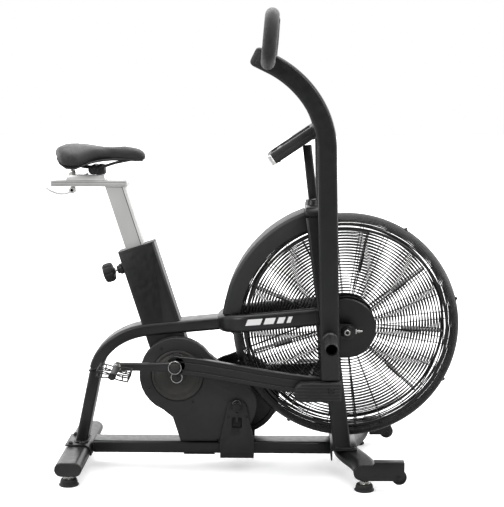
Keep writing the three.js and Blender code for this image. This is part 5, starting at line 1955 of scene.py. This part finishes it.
    def stuffed(self, shell: bpy.types.Object) -> bpy.types.Object:
        """Swells the saddle's cover by a short cloth simulation with a cap on its movement.

        Args:
            shell: Closed shell of the cover.

        Returns:
            The swollen cover.
        """
        use_modifier(shell, "REMESH", mode="VOXEL", voxel_size=self.voxel)
        before = [corner.co.copy() for corner in shell.data.vertices]
        take(shell)
        cloth = shell.modifiers.new("cloth", "CLOTH")
        cloth.settings.quality = 6
        cloth.settings.mass = 0.3
        cloth.settings.use_pressure = True
        cloth.settings.uniform_pressure_force = 4.0
        cloth.settings.tension_stiffness = 22.0
        cloth.settings.compression_stiffness = 22.0
        cloth.settings.bending_stiffness = 4.0
        cloth.settings.effector_weights.gravity = 0.0
        cloth.point_cache.frame_start = 1
        cloth.point_cache.frame_end = self.frames
        scene = bpy.context.scene
        for frame in range(1, self.frames + 1):
            scene.frame_set(frame)
        bpy.ops.object.modifier_apply(modifier=cloth.name)
        scene.frame_set(1)
        for corner, start in zip(shell.data.vertices, before):
            move = corner.co - start
            if move.length > self.cap:
                corner.co = start + move.normalized() * self.cap
        use_modifier(shell, "SMOOTH", iterations=12, factor=0.5)
        use_modifier(shell, "SUBSURF", levels=1, render_levels=1)
        return shell

    def seam(self, pad: bpy.types.Object) -> None:
        """Presses one curved seam into the padded cover."""
        zero = at(0, 0, 0).x
        for corner in pad.data.vertices:
            ahead = (corner.co.x - zero) / MM
            line = -818 + 18 * math.cos(corner.co.y / 0.088 * 1.5)
            near = math.exp(-((ahead - line) / 2.2) ** 2)
            corner.co -= corner.normal * 0.0012 * near

    def base(self, section: Section) -> None:
        """The moulded tray under the cover."""
        rows = [(-862, 38, 947), (-849, 68, 940), (-827, 83, 934), (-800, 82, 932),
                (-775, 68, 934), (-752, 52, 937), (-728, 36, 941), (-700, 25, 943),
                (-665, 21, 943), (-630, 20, 941), (-610, 14, 941)]
        places = []
        for ahead, half, height in rows:
            centre = at(ahead, 0, height - 1.0)
            places.append(Matrix.Translation(centre) @ CROSSWISE
                          @ Matrix.Diagonal((half * MM, 4.5 * MM, 1, 1)))
        tray = drawn("saddle_tray", section, places)
        zero = at(0, 0, 0).x
        for corner in tray.data.vertices:
            ahead = (corner.co.x - zero) / MM
            wide = max(0.0, min(1.0, (-730 - ahead) / 60))
            reach = abs(corner.co.y)
            corner.co.z -= 0.017 * wide * max(0.0, (reach - 0.045) / 0.045) ** 1.3
        fit(smooth(tray, 50.0), COVER_GRAIN, "saddle")

    def rails(self) -> None:
        """Two steel rails from the tray's nose through the clamp to its rear."""
        for side in Side:
            y = side.value
            knots = [(-624, 12, 942), (-650, 15, 939), (-690, 19, 931), (-720, 22, 922),
                     (-742, 22, 918), (-770, 22, 918), (-790, 23, 921), (-812, 30, 932),
                     (-826, 34, 938)]
            path = flowing([at(ahead, across * y, height) for ahead, across, height in knots], 5)
            rail = swept(f"saddle_rail_{side.word}", disc(0.0036, 14), path, Y_AXIS)
            fit(smooth(rail, 60.0), BLACK_STEEL, "saddle")

    def pin(self) -> None:
        """Fluted knob, bright shaft and collar of the pull pin."""
        mouth, up, rear = self.tube_axes()
        spot = mouth - up * 0.050
        profile = [(0.0, 0.1212), (0.0155, 0.1216), (0.0243, 0.1206), (0.0277, 0.1180),
                   (0.0290, 0.1150), (0.0294, 0.1090), (0.0294, 0.0990), (0.0283, 0.0950),
                   (0.0248, 0.0912), (0.0100, 0.0908), (0.0090, 0.0860), (0.0, 0.0860)]
        knob = turned("pull_pin_knob", profile, spot, rear, 96)
        side = Y_AXIS
        over = rear.cross(side)
        for corner in knob.data.vertices:
            offset = corner.co - spot
            u, v = offset.dot(side), offset.dot(over)
            radius = math.hypot(u, v)
            if radius > 0.020:
                dip = max(0.0, math.cos(8 * math.atan2(v, u))) ** 3
                shrink = 1.0 - 0.105 * dip * min(1.0, (radius - 0.020) / 0.006)
                corner.co += (side * u + over * v) * (shrink - 1.0)
        fit_like(smooth(knob, 50.0), "pull_pin", BLACK_RUBBER)
        shaft = round_bar("pull_pin_shaft", 0.0040, spot + rear * 0.027, spot + rear * 0.0880)
        fit(shaft, ZINC, "pull_pin")
        profile = [(0.0046, 0.0574), (0.0158, 0.0574), (0.0164, 0.0582), (0.0164, 0.0700),
                   (0.0152, 0.0716), (0.0126, 0.0722), (0.0122, 0.0782), (0.0110, 0.0790),
                   (0.0046, 0.0792)]
        collar = turned("pull_pin_socket", profile, spot, rear, 48)
        fit_like(smooth(collar), "pull_pin_collar")


# ------------------------------------------------------------------ console
@dataclass
class Console:
    """Display housing on its stem."""

    length: float = 0.164
    width: float = 0.190
    thick: float = 0.034
    tilt: float = 0.59

    def build(self) -> None:
        """Makes every piece of the console."""
        centre = at(-160, 0, 988)
        place = Matrix.Translation(centre) @ Matrix.Rotation(-self.tilt, 4, "Y")
        self.housing(place)
        self.face(place)
        self.under(place)

    def set_down(self, piece: bpy.types.Object, place: Matrix) -> bpy.types.Object:
        """Moves a piece drawn flat round the origin to the console's own place."""
        piece.data.transform(place)
        return smooth(piece)

    def housing(self, place: Matrix) -> None:
        """The moulded housing with its sunk face."""
        half = self.thick / 2
        section = oblong(self.length, self.width, 0.014, 7)
        places = []
        for height, size in ((-half, 0.90), (-half + 0.0015, 0.955), (-half + 0.006, 0.995),
                             (-0.001, 1.0), (-0.0006, 0.992), (0.0006, 0.992), (0.001, 1.0),
                             (half - 0.004, 1.0), (half - 0.001, 0.985), (half, 0.96)):
            places.append(Matrix.Translation((0, 0, height)) @ Matrix.Diagonal((size, size, 1, 1)))
        shell = drawn("console_housing", section, places)
        sunk = drawn("sunk", oblong(0.138, 0.150, 0.009, 5),
                     [Matrix.Translation((0, 0, half - 0.0060)),
                      Matrix.Translation((0, 0, half + 0.004))])
        carved(shell, sunk)
        rounded(shell, 0.0006, 2, 50.0)
        fit_like(self.set_down(shell, place), "console")

    def face(self, place: Matrix) -> None:
        """Display window, its rows of plain segments and the round buttons."""
        top = self.thick / 2 - 0.0060
        glass = block("console_window", Vector((-0.014, -0.060, top - 0.001)),
                      Vector((0.062, 0.060, top + 0.0010)), 0.0008)
        fit(self.set_down(glass, place), DISPLAY_GLASS, "frame")
        segments = []
        for row in range(3):
            for digit in range(4):
                for bar in range(2):
                    x = -0.002 + row * 0.022 + bar * 0.0075
                    y = -0.048 + digit * 0.025
                    segments.append(block("segment", Vector((x, y, top + 0.0008)),
                                          Vector((x + 0.0016, y + 0.013, top + 0.0013)), 0.0001))
        rows = merged("console_segments", segments)
        fit(self.set_down(rows, place), PAINTED_SHADE_AND_DIGITS, "frame")
        for count in range(5):
            spot = Vector((-0.042, -0.050 + count * 0.025, top))
            cap = [(0.0, 0.0), (0.0085, 0.0), (0.0086, 0.0012), (0.0074, 0.0024),
                   (0.0, 0.0019)]
            key = turned(f"console_button_{count + 1}", cap, spot, Z_AXIS, 36)
            fit(self.set_down(key, place), BUTTON_GREY, "frame")

    def under(self, place: Matrix) -> None:
        """Silver edge strip at the lower rear and the housing's screws."""
        half = self.thick / 2
        strip = block("console_edge", Vector((-self.length / 2 - 0.0012, -0.0956, -half + 0.001)),
                      Vector((-self.length / 2 + 0.0125, 0.0956, half - 0.001)), 0.0040, 3)
        fit(self.set_down(strip, place), SATIN_SILVER, "frame")
        for count, (ahead, across) in enumerate(((-0.060, -0.070), (-0.060, 0.070),
                                                 (0.060, -0.070), (0.060, 0.070))):
            head = bolt(f"console_screw_{count + 1}", Head.BUTTON,
                        Vector((ahead, across, -half)), -Z_AXIS, 0.0075, 0.0024)
            fit(self.set_down(head, place), BLACK_STEEL, "frame")


# ------------------------------------------------------------------ whole bike
def corners(box: tuple[Vector, Vector]) -> list[list[float]]:
    """A box as plain lists of numbers."""
    return [[round(value, 5) for value in corner] for corner in box]


def main() -> None:
    """Builds the studio and every sub-assembly."""
    logging.basicConfig(level=logging.INFO, format="%(name)s %(message)s")
    learn_frame(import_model())
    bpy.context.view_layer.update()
    clear_selection()
    Studio().build()
    for assembly in (Base(), UpperFrame(), FanUnit(), Drive(), Arms(), Seat(), Console()):
        LOG.info("building %s", type(assembly).__name__)
        assembly.build()
    dress_what_is_left()


if __name__ == "__main__":
    main()
